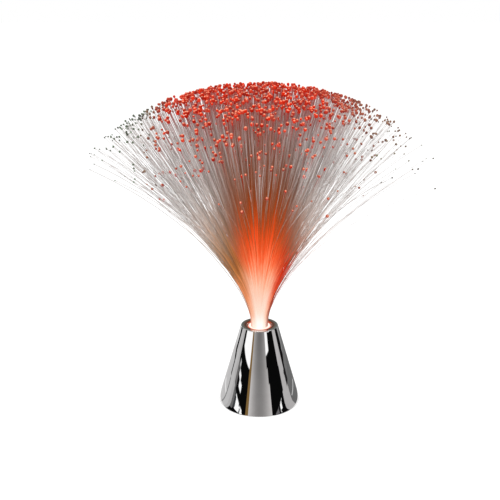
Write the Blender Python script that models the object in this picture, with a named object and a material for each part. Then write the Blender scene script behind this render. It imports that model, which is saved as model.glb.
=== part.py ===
"""A battery fibre optic table lamp.

A hollow polished cone stands on four feet. Its bottom plate carries three cells behind a hinged door
and a slide switch, and a holder under its top ring carries a board with three LEDs. A plug-in head
drops into the holder through the top ring: a translucent collar round a potted bundle, whose fibres
fan out into a dome of lit tips.

Metres, +Z up. The origin is on the lamp's axis, on the table. The cells lie along Y, the door swings
on its -Y edge, and the switch is at +X.
"""

import math

import bmesh
import bpy
import numpy as np
from mathutils import Matrix, Vector

MM = 0.001

# Clearances and allowances that all pieces share
SEAT_GAP = 0.3 * MM  # between pieces that touch on the real lamp
OVERRUN = 1.0 * MM  # how far a cutter runs past the face that it opens
OVERLAP = 0.5 * MM  # how far joined shapes sink into each other
WELD_DISTANCE = 0.001 * MM

# The cone
BASE_HEIGHT = 86 * MM  # table to top ring
BAY_TO_RIM = 11 * MM  # from the battery bay's corner to the bottom rim
TOP_RING_WIDTH = 5.75 * MM
COLLAR_TO_HOLE = 1.5 * MM  # from the collar's rim to the edge of the top hole
SHELL_WALL = 2.0 * MM
TOP_THICKNESS = 2.4 * MM
TOP_EDGE_RADIUS = 0.8 * MM
HOLE_EDGE_RADIUS = 0.5 * MM
RIM_EDGE_RADIUS = 0.6 * MM
RIM_LIFT = 1.0 * MM  # the feet hold the rim this far above the table

# Bosses inside the cone
BASE_BOSS_DIAMETER = 7.0 * MM
BASE_BOSS_LENGTH = 14 * MM
BASE_BOSS_INSET = 1.0 * MM  # between a boss and the edge of the bottom plate
TOP_BOSS_DIAMETER = 5.0 * MM

# The bottom plate
PLATE_THICKNESS = 2.4 * MM
PLATE_RECESS = 0.6 * MM  # its underside lies this far above the rim
PLATE_EDGE_RADIUS = 0.4 * MM
SCREW_CUP_HEIGHT = 2.0 * MM
SCREW_SINK = 0.5 * MM  # screw heads lie this deep in the underside

# Feet
FOOT_DIAMETER = 8.0 * MM
FOOT_RECESS = 0.8 * MM
FOOT_EDGE_RADIUS = 0.5 * MM
FOOT_INSET = 1.2 * MM

# Screws
BASE_SCREW_HEAD_DIAMETER = 5.0 * MM
BASE_SCREW_HEAD_HEIGHT = 1.8 * MM
BASE_SCREW_DIAMETER = 2.6 * MM
BASE_SCREW_LENGTH = 8.0 * MM
SMALL_SCREW_HEAD_DIAMETER = 3.6 * MM
SMALL_SCREW_HEAD_HEIGHT = 1.4 * MM
SMALL_SCREW_DIAMETER = 1.9 * MM
SMALL_SCREW_LENGTH = 5.0 * MM
SWITCH_SCREW_LENGTH = 3.6 * MM
SCREW_EDGE_RADIUS = 0.3 * MM

# Three AAA cells side by side
CELL_DIAMETER = 10.5 * MM
CELL_LENGTH = 44.5 * MM  # with the button
CELL_BUTTON_DIAMETER = 3.8 * MM
CELL_BUTTON_HEIGHT = 0.9 * MM
CELL_EDGE_RADIUS = 0.5 * MM
CELL_CRIMP_HEIGHT = 1.2 * MM
CELL_CRIMP_DEPTH = 0.35 * MM
CELL_SPACING = 0.8 * MM
CELL_SIDE_CLEARANCE = 0.5 * MM
CELL_DOOR_CLEARANCE = 0.6 * MM

# The battery bay
BAY_WALL = 1.2 * MM
DIVIDER_WIDTH = 1.2 * MM
DIVIDER_DEPTH = 2.0 * MM

# Battery contacts
CONTACT_THICKNESS = 0.4 * MM
CONTACT_WIDTH = 8.6 * MM
CONTACT_BELOW_AXIS = 3.0 * MM
CONTACT_ABOVE_AXIS = 4.2 * MM
CONTACT_SPRING_LENGTH = 4.4 * MM
SPRING_WIRE_DIAMETER = 0.6 * MM
SPRING_BASE_DIAMETER = 6.4 * MM
SPRING_TIP_DIAMETER = 4.2 * MM
SPRING_TURNS = 3.5
SPRING_STEPS = 35
SPRING_START_SHARE = 0.2  # height of the first turn over the plate, in wire diameters
SOLDER_TAB_WIDTH = 3.0 * MM
SOLDER_TAB_HEIGHT = 3.5 * MM  # above the bay

# The battery door
DOOR_THICKNESS = 1.8 * MM
HOOK_WIDTH = 3.4 * MM
HOOK_THICKNESS = 1.0 * MM
HOOK_REACH = 1.2 * MM
HOOK_STEM = 1.0 * MM
LATCH_WIDTH = 8.0 * MM
LATCH_THICKNESS = 1.0 * MM
LATCH_HEIGHT = 2.2 * MM  # above the door panel
LATCH_SLOT = 1.2 * MM
LATCH_TONGUE_LENGTH = 9.0 * MM
SCOOP_RADIUS = 5.0 * MM
SCOOP_DEPTH = 1.2 * MM

# The slide switch
SWITCH_TRAVEL = 3.5 * MM
SWITCH_KNOB_LENGTH = 3.0 * MM
SWITCH_KNOB_WIDTH = 2.8 * MM
SWITCH_KNOB_SINK = 0.2 * MM
SWITCH_CARRIAGE_LENGTH = 5.0 * MM
SWITCH_CARRIAGE_WIDTH = 4.0 * MM
SWITCH_CARRIAGE_HEIGHT = 2.0 * MM
SWITCH_RUNNING_GAP = 0.3 * MM
SWITCH_SHEET = 0.5 * MM
SWITCH_CAN_HEIGHT = 4.6 * MM
SWITCH_EAR_LENGTH = 4.4 * MM
SWITCH_BASE_THICKNESS = 1.0 * MM
SWITCH_PIN_WIDTH = 1.2 * MM
SWITCH_PIN_THICKNESS = 0.5 * MM
SWITCH_PIN_HEIGHT = 3.2 * MM
SWITCH_PIN_PITCH = 3.0 * MM
SWITCH_PAD_HEIGHT = 1.4 * MM
SWITCH_BAY_CLEARANCE = 3.0 * MM
POCKET_DEPTH = 1.2 * MM
POCKET_MARGIN = 2.2 * MM
POCKET_EDGE_RADIUS = 1.5 * MM

# The fibre head
BUNDLE_DIAMETER = 18.6 * MM
COLLAR_FLANGE = 0.5 * MM  # how far the collar stands out over its own tube
COLLAR_THICKNESS = 2.0 * MM
COLLAR_RECESS = 1.0 * MM  # its face lies this far below the top ring
COLLAR_WALL = 1.0 * MM
COLLAR_EDGE_RADIUS = 0.5 * MM
HEAD_DEPTH = 20 * MM  # of the plug below the collar's flange
HEAD_CLEARANCE = 0.2 * MM
SLEEVE_WALL = 0.6 * MM
SLEEVE_INSET = 0.8 * MM
POTTING_THICKNESS = 2.6 * MM
POTTING_PROUD = 0.3 * MM

# The fibres
STRAND_COUNT = 320
STRAND_SIDES = 3
STRAND_SHARE = 0.0344  # a strand's diameter over the bundle's
STRAND_DIAMETER = STRAND_SHARE * BUNDLE_DIAMETER
STRAND_EDGE_MARGIN = 0.35 * MM
FIBRE_LENGTH = 249 * MM
NECK_LENGTH = 31 * MM  # over which the fibres turn outwards
LEAN_SHARES = (0, 0.62, 0.94, 1)  # of the fibres, those whose tips are seen from the collar within LEAN_ANGLES
LEAN_ANGLES = [math.radians(a) for a in (0, 22, 35, 35)]
FRINGE_SHARE = 0.7  # the fibres beyond this share droop
DROOP_ANGLE = math.radians(16)  # extra turn at the tip of an outermost fibre
SPREAD_FACTOR = 1.12  # tip direction over the angle at which the tip is seen from the collar
STATION_SHARES = (0.0, 0.09, 0.3, 1.0)  # places of a strand's corners along its length
PATH_STEPS = 60
GOLDEN_ANGLE = math.pi * (3 - math.sqrt(5))

# The LED holder and its board
HOLDER_WALL = 1.8 * MM
HOLDER_LIP = 1.2 * MM
HOLDER_LIP_THICKNESS = 1.6 * MM
HOLDER_LEDGE = 1.0 * MM
EAR_DROP = 14 * MM  # from the holder's top to its screw ears
EAR_THICKNESS = 2.0 * MM
EAR_MARGIN = 0.6 * MM
EAR_CORNER = 2.6 * MM
BOARD_BOSS_DIAMETER = 4.6 * MM
BOARD_BOSS_HEIGHT = 6.5 * MM
BOARD_BOSS_OUTSET = 1.6 * MM
BOARD_THICKNESS = 1.6 * MM
BOARD_MARGIN = 1.2 * MM
LED_DIAMETER = 5.0 * MM
LED_FLANGE_DIAMETER = 5.8 * MM
LED_FLANGE_HEIGHT = 1.0 * MM
LED_BODY_HEIGHT = 5.2 * MM  # up to the dome
LED_RING_RADIUS = 5.2 * MM
LED_TOP_CLEARANCE = 1.0 * MM
LED_LEAD_WIDTH = 0.5 * MM
LED_LEAD_SPACING = 2.54 * MM
LED_LEAD_LENGTH = 3.2 * MM
CHAMBER_MARGIN = 0.4 * MM

# The resistor and the wires
RESISTOR_DIAMETER = 2.3 * MM
RESISTOR_LENGTH = 6.3 * MM
RESISTOR_SPAN = 10 * MM
RESISTOR_DROP = 2.6 * MM
RESISTOR_OFFSET = 9.5 * MM
LEAD_DIAMETER = 0.6 * MM
WIRE_DIAMETER = 1.3 * MM
WIRE_PAD_OFFSET = 12.5 * MM  # from the lamp's axis to a wire's solder pad
WIRE_TUCK = 0.6 * MM
WIRE_LIFT = 6.0 * MM

# Facets
SHELL_SEGMENTS = 60
RING_SEGMENTS = 32
SMALL_SEGMENTS = 14
SCREW_SEGMENTS = 10
FILLET_STEPS = 2
TUBE_SIDES = 6
WIRE_STEPS = 5
SMOOTH_ANGLE = math.radians(35)

# Heights above the table
PLATE_BOTTOM = RIM_LIFT + PLATE_RECESS
PLATE_TOP = PLATE_BOTTOM + PLATE_THICKNESS
CUP_TOP = PLATE_TOP + SCREW_CUP_HEIGHT
CELL_AXIS = PLATE_BOTTOM + DOOR_THICKNESS + CELL_DOOR_CLEARANCE + CELL_DIAMETER / 2
BAY_CEILING = CELL_AXIS + CELL_DIAMETER / 2 + SEAT_GAP
BAY_TOP = BAY_CEILING + BAY_WALL
RING_BOTTOM = BASE_HEIGHT - TOP_THICKNESS
HEAD_SEAT = BASE_HEIGHT - COLLAR_RECESS - COLLAR_THICKNESS
HOLDER_TOP = HEAD_SEAT - SEAT_GAP
HEAD_BOTTOM = HEAD_SEAT - HEAD_DEPTH
LED_HEIGHT = LED_BODY_HEIGHT + LED_DIAMETER / 2
BOARD_TOP = HEAD_BOTTOM - LED_TOP_CLEARANCE - LED_HEIGHT - SEAT_GAP
HOLDER_BOTTOM = BOARD_TOP + SEAT_GAP
BOARD_BOTTOM = BOARD_TOP - BOARD_THICKNESS
EAR_TOP = HOLDER_TOP - EAR_DROP
EAR_BOTTOM = EAR_TOP - EAR_THICKNESS

# Sizes in plan
CELL_PITCH = CELL_DIAMETER + CELL_SPACING
BAY_HALF_WIDTH = CELL_PITCH + CELL_DIAMETER / 2 + CELL_SIDE_CLEARANCE
CONTACT_DEPTH = 2 * SEAT_GAP + CONTACT_THICKNESS
BAY_HALF_LENGTH = (CELL_LENGTH + 2 * CONTACT_DEPTH + CONTACT_SPRING_LENGTH) / 2
SLEEVE_INNER = BUNDLE_DIAMETER / 2 + SEAT_GAP
SLEEVE_OUTER = SLEEVE_INNER + SLEEVE_WALL
COLLAR_BORE = SLEEVE_OUTER + SEAT_GAP
COLLAR_TUBE = COLLAR_BORE + COLLAR_WALL
COLLAR_DIAMETER = 2 * (COLLAR_TUBE + COLLAR_FLANGE)
TOP_HOLE_DIAMETER = COLLAR_DIAMETER + 2 * COLLAR_TO_HOLE
TOP_DIAMETER = TOP_HOLE_DIAMETER + 2 * TOP_RING_WIDTH
BASE_DIAMETER = 2 * (math.hypot(BAY_HALF_WIDTH + BAY_WALL, BAY_HALF_LENGTH + BAY_WALL) + BAY_TO_RIM)
HOLDER_BORE = COLLAR_TUBE + HEAD_CLEARANCE
HOLDER_RADIUS = HOLDER_BORE + HOLDER_WALL
HOLDER_LIP_RADIUS = HOLDER_RADIUS + HOLDER_LIP
TOP_BOSS_RING = HOLDER_LIP_RADIUS + SEAT_GAP + TOP_BOSS_DIAMETER / 2
BOARD_BOSS_RING = HOLDER_RADIUS + BOARD_BOSS_OUTSET
BOARD_RADIUS = BOARD_BOSS_RING + BOARD_BOSS_DIAMETER / 2 + BOARD_MARGIN
SWITCH_CAVITY_LENGTH = SWITCH_CARRIAGE_LENGTH + SWITCH_TRAVEL + 2 * SWITCH_RUNNING_GAP
SWITCH_CAVITY_WIDTH = SWITCH_CARRIAGE_WIDTH + 2 * SWITCH_RUNNING_GAP
SWITCH_CAN_LENGTH = SWITCH_CAVITY_LENGTH + 2 * SWITCH_SHEET
SWITCH_CAN_WIDTH = SWITCH_CAVITY_WIDTH + 2 * SWITCH_SHEET
SWITCH_SCREW_OFFSET = (SWITCH_CAN_LENGTH + SWITCH_EAR_LENGTH) / 2
SWITCH_X = BAY_HALF_WIDTH + BAY_WALL + SWITCH_BAY_CLEARANCE + SWITCH_CAN_WIDTH / 2
SWITCH_FRAME_BOTTOM = PLATE_TOP + SWITCH_PAD_HEIGHT + SEAT_GAP

BASE_SCREW_ANGLES = [math.radians(a) for a in (90, 210, 330)]
FOOT_ANGLES = [math.radians(a) for a in (45, 135, 225, 315)]
TOP_BOSS_ANGLES = [math.radians(a) for a in (90, 270)]
BOARD_BOSS_ANGLES = [math.radians(a) for a in (0, 180)]
LED_ANGLES = [math.radians(a) for a in (90, 210, 330)]

COLOURS = {  # colour, roughness, metallic
    "chrome": ((0.86, 0.86, 0.87), 0.06, 1.0),
    "black_plastic": ((0.02, 0.02, 0.022), 0.45, 0.0),
    "white_plastic": ((0.85, 0.85, 0.83), 0.4, 0.0),
    "lit_collar": ((1.0, 0.86, 0.78), 0.3, 0.0),
    "clear_fibre": ((0.9, 0.55, 0.48), 0.2, 0.0),
    "potted_fibre": ((0.95, 0.8, 0.72), 0.25, 0.0),
    "sleeve": ((0.03, 0.03, 0.03), 0.6, 0.0),
    "steel": ((0.6, 0.6, 0.62), 0.3, 1.0),
    "rubber": ((0.03, 0.03, 0.03), 0.8, 0.0),
    "cell_jacket": ((0.08, 0.1, 0.14), 0.35, 0.0),
    "board": ((0.06, 0.25, 0.1), 0.5, 0.0),
    "phenolic": ((0.28, 0.14, 0.06), 0.6, 0.0),
    "led_red": ((0.9, 0.15, 0.1), 0.1, 0.0),
    "led_green": ((0.2, 0.8, 0.25), 0.1, 0.0),
    "led_blue": ((0.15, 0.3, 0.9), 0.1, 0.0),
    "resistor": ((0.75, 0.62, 0.42), 0.5, 0.0),
    "wire_red": ((0.6, 0.03, 0.03), 0.4, 0.0),
    "wire_black": ((0.02, 0.02, 0.02), 0.4, 0.0),
}


def material(name):
    found = bpy.data.materials.get(name)
    if found:
        return found
    colour, roughness, metallic = COLOURS[name]
    made = bpy.data.materials.new(name)
    made.use_nodes = True
    shader = made.node_tree.nodes["Principled BSDF"]
    shader.inputs["Base Color"].default_value = (*colour, 1.0)
    shader.inputs["Roughness"].default_value = roughness
    shader.inputs["Metallic"].default_value = metallic
    return made


def mesh_from(name, bm):
    bmesh.ops.recalc_face_normals(bm, faces=bm.faces)
    mesh = bpy.data.meshes.new(name)
    bm.to_mesh(mesh)
    bm.free()
    mesh.shade_smooth()
    mesh.set_sharp_from_angle(angle=SMOOTH_ANGLE)
    return mesh


def linked(name, mesh, at=(0, 0, 0), turn=0.0):
    made = bpy.data.objects.new(name, mesh)
    bpy.context.scene.collection.objects.link(made)
    made.location = at
    made.rotation_euler.z = turn
    return made


def piece(name, mesh, finish, parent, at=(0, 0, 0), turn=0.0):
    """A visible sub-part. at is in its parent's frame."""
    made = linked(name, mesh, at, turn)
    if not mesh.materials:
        mesh.materials.append(material(finish))
    made.parent = parent
    return made


def helper(name, mesh, at=(0, 0, 0), turn=0.0):
    """A shape that only cuts or joins another one."""
    made = linked(name, mesh, at, turn)
    made.hide_render = True
    made.display_type = "WIRE"
    return made


def boolean(target, other, operation):
    modifier = target.modifiers.new(other.name, "BOOLEAN")
    modifier.operation = operation
    modifier.solver = "EXACT"
    modifier.object = other
    if other.parent is None:
        other.parent = target.parent
    return target


def cut(target, *others):
    for other in others:
        boolean(target, other, "DIFFERENCE")


def join(target, *others):
    for other in others:
        boolean(target, other, "UNION")


def rounded(corners, steps=FILLET_STEPS):
    """The points of a closed outline with corners (x, y, fillet radius)."""
    points = []
    for index, (x, y, radius) in enumerate(corners):
        corner = Vector((x, y))
        if radius == 0:
            points.append(corner)
            continue
        back = (Vector(corners[index - 1][:2]) - corner).normalized()
        ahead = (Vector(corners[(index + 1) % len(corners)][:2]) - corner).normalized()
        half = back.angle(ahead) / 2
        centre = corner + (back + ahead).normalized() * radius / math.sin(half)
        first = corner + back * radius / math.tan(half) - centre
        last = corner + ahead * radius / math.tan(half) - centre
        sweep = first.angle(last)
        for step in range(steps + 1):
            along = sweep * step / steps
            points.append(centre + (first * math.sin(sweep - along) + last * math.sin(along)) / math.sin(sweep))
    return points


def turned(name, outline, segments=RING_SEGMENTS):
    """A mesh turned about Z from an outline of (radius, height). One that meets the axis gets a flat end there."""
    bm = bmesh.new()
    on_axis = any(radius == 0 for radius, height in outline)
    points = [bm.verts.new((radius, 0, height)) for radius, height in outline if radius > 0]
    ring = list(zip(points, points[1:]))
    if not on_axis:
        ring.append((points[-1], points[0]))
    edges = [bm.edges.new(pair) for pair in ring]
    bmesh.ops.spin(
        bm, geom=points + edges, cent=(0, 0, 0), axis=(0, 0, 1), angle=2 * math.pi, steps=segments, use_merge=True
    )
    bmesh.ops.remove_doubles(bm, verts=bm.verts, dist=WELD_DISTANCE)
    if on_axis:
        bmesh.ops.holes_fill(bm, edges=[edge for edge in bm.edges if edge.is_boundary])
    return mesh_from(name, bm)


def extruded(name, outline, bottom, top):
    bm = bmesh.new()
    face = bm.faces.new([bm.verts.new((x, y, bottom)) for x, y in outline])
    lifted = bmesh.ops.extrude_face_region(bm, geom=[face])["geom"]
    points = [item for item in lifted if isinstance(item, bmesh.types.BMVert)]
    bmesh.ops.translate(bm, verts=points, vec=(0, 0, top - bottom))
    return mesh_from(name, bm)


def box(name, low, high):
    bm = bmesh.new()
    low, high = Vector(low), Vector(high)
    place = Matrix.Translation((low + high) / 2) @ Matrix.Diagonal((*(high - low), 1.0))
    bmesh.ops.create_cube(bm, size=1.0, matrix=place)
    return mesh_from(name, bm)


def cylinder(name, radius, bottom, top, segments=SMALL_SEGMENTS):
    return turned(name, [(0, top), (radius, top), (radius, bottom), (0, bottom)], segments)


def slab(name, half_x, half_y, bottom, top, radius=0.0):
    """A plate with rounded vertical edges, centred on its own origin."""
    corners = [(half_x, half_y), (-half_x, half_y), (-half_x, -half_y), (half_x, -half_y)]
    return extruded(name, rounded([(x, y, radius) for x, y in corners]), bottom, top)


def add_tube(bm, points, radii, sides, turn=0.0):
    """Adds a closed tube with flat ends. Its rings stand square to the path."""
    points = [Vector(p) for p in points]
    spans = [(b - a).normalized() for a, b in zip(points, points[1:])]
    side = spans[0].orthogonal().normalized()
    rings = []
    for index, point in enumerate(points):
        back, ahead = spans[max(index - 1, 0)], spans[min(index, len(spans) - 1)]
        along = (back + ahead).normalized()
        side = (side - along * side.dot(along)).normalized()
        across = along.cross(side)
        corners = []
        for corner in range(sides):
            angle = turn + 2 * math.pi * corner / sides
            offset = side * math.cos(angle) + across * math.sin(angle)
            corners.append(bm.verts.new(point + offset * radii[index]))
        rings.append(corners)
    for low, high in zip(rings, rings[1:]):
        for corner in range(sides):
            after = (corner + 1) % sides
            bm.faces.new((low[corner], low[after], high[after], high[corner]))
    bm.faces.new(rings[0][::-1])
    bm.faces.new(rings[-1])


def tube(name, points, radius, sides=TUBE_SIDES):
    bm = bmesh.new()
    add_tube(bm, points, [radius] * len(points), sides)
    return mesh_from(name, bm)


def smooth_path(points, steps):
    """Points on a smooth curve through the given ones, with steps points for each span."""
    points = [Vector(p) for p in points]
    points = [2 * points[0] - points[1], *points, 2 * points[-1] - points[-2]]
    path = []
    for a, b, c, d in zip(points, points[1:], points[2:], points[3:]):
        for step in range(steps):
            t = step / steps
            path.append(
                (2 * b + (c - a) * t + (2 * a - 5 * b + 4 * c - d) * t**2 + (3 * b - a - 3 * c + d) * t**3) / 2
            )
    return [*path, points[-2]]


def on_ring(radius, angle, height=0.0):
    return Vector((radius * math.cos(angle), radius * math.sin(angle), height))


def shell_radius(height):
    """Radius of the cone's outside at this height above the table."""
    share = (height - RIM_LIFT) / (BASE_HEIGHT - RIM_LIFT)
    return (BASE_DIAMETER + (TOP_DIAMETER - BASE_DIAMETER) * share) / 2


def inner_radius(height):
    """Radius of the cone's inside, a wall's thickness square to the slope."""
    lean = math.atan2((BASE_DIAMETER - TOP_DIAMETER) / 2, BASE_HEIGHT - RIM_LIFT)
    return shell_radius(height) - SHELL_WALL / math.cos(lean)


def middle_radius(height):
    return (shell_radius(height) + inner_radius(height)) / 2


PLATE_RADIUS = inner_radius(PLATE_TOP) - SEAT_GAP
BASE_BOSS_RING = PLATE_RADIUS - BASE_BOSS_INSET - BASE_BOSS_DIAMETER / 2
FOOT_RING = PLATE_RADIUS - FOOT_INSET - FOOT_DIAMETER / 2
BASE_SCREW_SEAT = PLATE_BOTTOM + SCREW_SINK + BASE_SCREW_HEAD_HEIGHT


def screw_mesh(name, head_diameter, head_height, diameter, length):
    """A pan-head screw that points up: its shank starts at height zero, and its head hangs below."""
    head, shank = head_diameter / 2, diameter / 2
    return turned(
        name,
        [
            (0, length),
            (shank / 2, length),
            (shank, length - shank),
            (shank, 0),
            (head, 0),
            (head, SCREW_EDGE_RADIUS - head_height),
            (head - SCREW_EDGE_RADIUS, -head_height),
            (0, -head_height),
        ],
        SCREW_SEGMENTS,
    )


def make_shell(lamp):
    """The hollow cone, with its top ring and the bosses moulded inside it."""
    outline = rounded(
        [
            (shell_radius(RIM_LIFT), RIM_LIFT, RIM_EDGE_RADIUS),
            (shell_radius(BASE_HEIGHT), BASE_HEIGHT, TOP_EDGE_RADIUS),
            (TOP_HOLE_DIAMETER / 2, BASE_HEIGHT, HOLE_EDGE_RADIUS),
            (TOP_HOLE_DIAMETER / 2, RING_BOTTOM, 0),
            (inner_radius(RING_BOTTOM), RING_BOTTOM, 0),
            (inner_radius(RIM_LIFT), RIM_LIFT, 0),
        ]
    )
    shell = piece("base_shell", turned("base_shell", outline, SHELL_SEGMENTS), "chrome", lamp)

    # A solid cone as large as the middle of the wall, which trims each boss
    trim = helper(
        "shell_trim",
        turned(
            "shell_trim",
            [
                (0, BASE_HEIGHT - TOP_THICKNESS / 2),
                (middle_radius(BASE_HEIGHT - TOP_THICKNESS / 2), BASE_HEIGHT - TOP_THICKNESS / 2),
                (middle_radius(RIM_LIFT), RIM_LIFT),
                (0, RIM_LIFT),
            ],
            SHELL_SEGMENTS,
        ),
    )
    low_bottom, low_top = CUP_TOP + SEAT_GAP, CUP_TOP + SEAT_GAP + BASE_BOSS_LENGTH
    bosses = [
        (BASE_BOSS_RING, angle, BASE_BOSS_DIAMETER, low_bottom, low_top, BASE_SCREW_DIAMETER,
         BASE_SCREW_SEAT + BASE_SCREW_LENGTH)
        for angle in BASE_SCREW_ANGLES
    ]
    bosses += [
        (TOP_BOSS_RING, angle, TOP_BOSS_DIAMETER, EAR_TOP + SEAT_GAP, BASE_HEIGHT, SMALL_SCREW_DIAMETER,
         EAR_BOTTOM + SMALL_SCREW_LENGTH)
        for angle in TOP_BOSS_ANGLES
    ]
    for number, (ring, angle, diameter, bottom, top, screw, screw_end) in enumerate(bosses):
        at = on_ring(ring, angle)
        boss = helper(f"boss_{number}", cylinder("boss", diameter / 2, bottom, top), at)
        boolean(boss, trim, "INTERSECT")
        join(shell, boss)
        hole = cylinder("boss_hole", screw / 2 + SEAT_GAP, bottom - OVERRUN, screw_end + SEAT_GAP, SCREW_SEGMENTS)
        cut(shell, helper(f"boss_hole_{number}", hole, at))


def make_bottom_plate(lamp):
    """The plate that closes the cone, with the battery bay, screw cups and switch pads moulded on it."""
    edge = PLATE_EDGE_RADIUS
    outline = rounded(
        [(0, PLATE_TOP, 0), (PLATE_RADIUS, PLATE_TOP, 0), (PLATE_RADIUS, PLATE_BOTTOM, edge), (0, PLATE_BOTTOM, 0)]
    )
    plate = piece("bottom_plate", turned("bottom_plate", outline, SHELL_SEGMENTS), "black_plastic", lamp)
    root = PLATE_BOTTOM + PLATE_THICKNESS / 2
    bay = slab("bay", BAY_HALF_WIDTH + BAY_WALL, BAY_HALF_LENGTH + BAY_WALL, root, BAY_TOP, BAY_WALL)
    join(plate, helper("bay_outside", bay))
    for number, angle in enumerate(BASE_SCREW_ANGLES):
        cup = cylinder("cup", BASE_BOSS_DIAMETER / 2, root, CUP_TOP)
        join(plate, helper(f"screw_cup_{number}", cup, on_ring(BASE_BOSS_RING, angle)))
    pad = SWITCH_EAR_LENGTH / 2 - SEAT_GAP
    for number, side in enumerate((-1, 1)):
        pad_mesh = cylinder("pad", pad, root, PLATE_TOP + SWITCH_PAD_HEIGHT, SCREW_SEGMENTS)
        join(plate, helper(f"switch_pad_{number}", pad_mesh, (SWITCH_X, side * SWITCH_SCREW_OFFSET, 0)))

    cavity = box(
        "cavity",
        (-BAY_HALF_WIDTH, -BAY_HALF_LENGTH, PLATE_BOTTOM - OVERRUN),
        (BAY_HALF_WIDTH, BAY_HALF_LENGTH, BAY_CEILING),
    )
    cut(plate, helper("bay_inside", cavity))
    for number, side in enumerate((-1, 1)):
        divider = box(
            "divider",
            (-DIVIDER_WIDTH / 2, CONTACT_DEPTH - BAY_HALF_LENGTH, BAY_CEILING - DIVIDER_DEPTH),
            (DIVIDER_WIDTH / 2, BAY_HALF_LENGTH - CONTACT_DEPTH, BAY_CEILING + OVERLAP),
        )
        join(plate, helper(f"cell_divider_{number}", divider, (side * CELL_PITCH / 2, 0, 0)))
    cut_plate_holes(plate)
    return plate


def cut_plate_holes(plate):
    for number, angle in enumerate(BASE_SCREW_ANGLES):
        at = on_ring(BASE_BOSS_RING, angle)
        sink = cylinder(
            "sink", BASE_SCREW_HEAD_DIAMETER / 2 + SEAT_GAP, PLATE_BOTTOM - OVERRUN, BASE_SCREW_SEAT + SEAT_GAP
        )
        hole = cylinder("hole", BASE_SCREW_DIAMETER / 2 + SEAT_GAP, PLATE_BOTTOM, CUP_TOP + OVERRUN, SCREW_SEGMENTS)
        cut(plate, helper(f"screw_sink_{number}", sink, at), helper(f"screw_hole_{number}", hole, at))
    for number, angle in enumerate(FOOT_ANGLES):
        recess = cylinder(
            "recess", FOOT_DIAMETER / 2 + SEAT_GAP, PLATE_BOTTOM - OVERRUN, PLATE_BOTTOM + FOOT_RECESS
        )
        cut(plate, helper(f"foot_recess_{number}", recess, on_ring(FOOT_RING, angle)))

    # A finger pocket, and in it the slot that the switch knob slides in
    knob_length = SWITCH_KNOB_LENGTH + SWITCH_TRAVEL
    slot_x, slot_y = SWITCH_KNOB_WIDTH / 2 + SWITCH_RUNNING_GAP, knob_length / 2 + SWITCH_RUNNING_GAP
    pocket = slab(
        "pocket",
        slot_x + POCKET_MARGIN,
        slot_y + POCKET_MARGIN,
        PLATE_BOTTOM - OVERRUN,
        PLATE_BOTTOM + POCKET_DEPTH,
        POCKET_EDGE_RADIUS,
    )
    slot = slab("slot", slot_x, slot_y, PLATE_BOTTOM, PLATE_TOP + OVERRUN)
    at = (SWITCH_X, 0, 0)
    cut(plate, helper("switch_pocket", pocket, at), helper("switch_slot", slot, at))
    for number, side in enumerate((-1, 1)):
        hole = cylinder(
            "hole",
            SMALL_SCREW_DIAMETER / 2 + SEAT_GAP,
            SWITCH_FRAME_BOTTOM + SWITCH_SHEET - SWITCH_SCREW_LENGTH,
            PLATE_TOP + SWITCH_PAD_HEIGHT + OVERRUN,
            SCREW_SEGMENTS,
        )
        cut(plate, helper(f"pad_hole_{number}", hole, (SWITCH_X, side * SWITCH_SCREW_OFFSET, 0)))

    # Windows for the door's hooks, slots for the solder tabs, and a scoop for a finger nail
    for number, side in enumerate((-1, 1)):
        window = box(
            "window",
            (-HOOK_WIDTH / 2 - SEAT_GAP, -BAY_HALF_LENGTH - BAY_WALL - OVERRUN, PLATE_TOP),
            (HOOK_WIDTH / 2 + SEAT_GAP, -BAY_HALF_LENGTH + OVERRUN, PLATE_TOP + 2 * SEAT_GAP + HOOK_SWING),
        )
        cut(plate, helper(f"hook_window_{number}", window, (side * CELL_PITCH / 2, 0, 0)))
    for number, (x, side) in enumerate(((-CELL_PITCH, 1), (CELL_PITCH, -1))):
        slot = box(
            "tab_slot",
            (-SOLDER_TAB_WIDTH / 2 - SEAT_GAP, -CONTACT_DEPTH, BAY_CEILING - OVERRUN),
            (SOLDER_TAB_WIDTH / 2 + SEAT_GAP, SEAT_GAP, BAY_TOP + OVERRUN),
        )
        turn = 0 if side > 0 else math.pi
        cut(plate, helper(f"tab_slot_{number}", slot, (x, side * BAY_HALF_LENGTH, 0), turn))
    scoop = cylinder("scoop", SCOOP_RADIUS, PLATE_BOTTOM - OVERRUN, PLATE_BOTTOM + SCOOP_DEPTH)
    cut(plate, helper("finger_scoop", scoop, (0, BAY_HALF_LENGTH, 0)))


# How high a hook rises above the plate while the door swings about the lower edge of its opening
HOOK_RADIUS = math.hypot(HOOK_REACH, PLATE_THICKNESS + SEAT_GAP + HOOK_THICKNESS)
HOOK_SWING = HOOK_RADIUS - PLATE_THICKNESS


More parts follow.
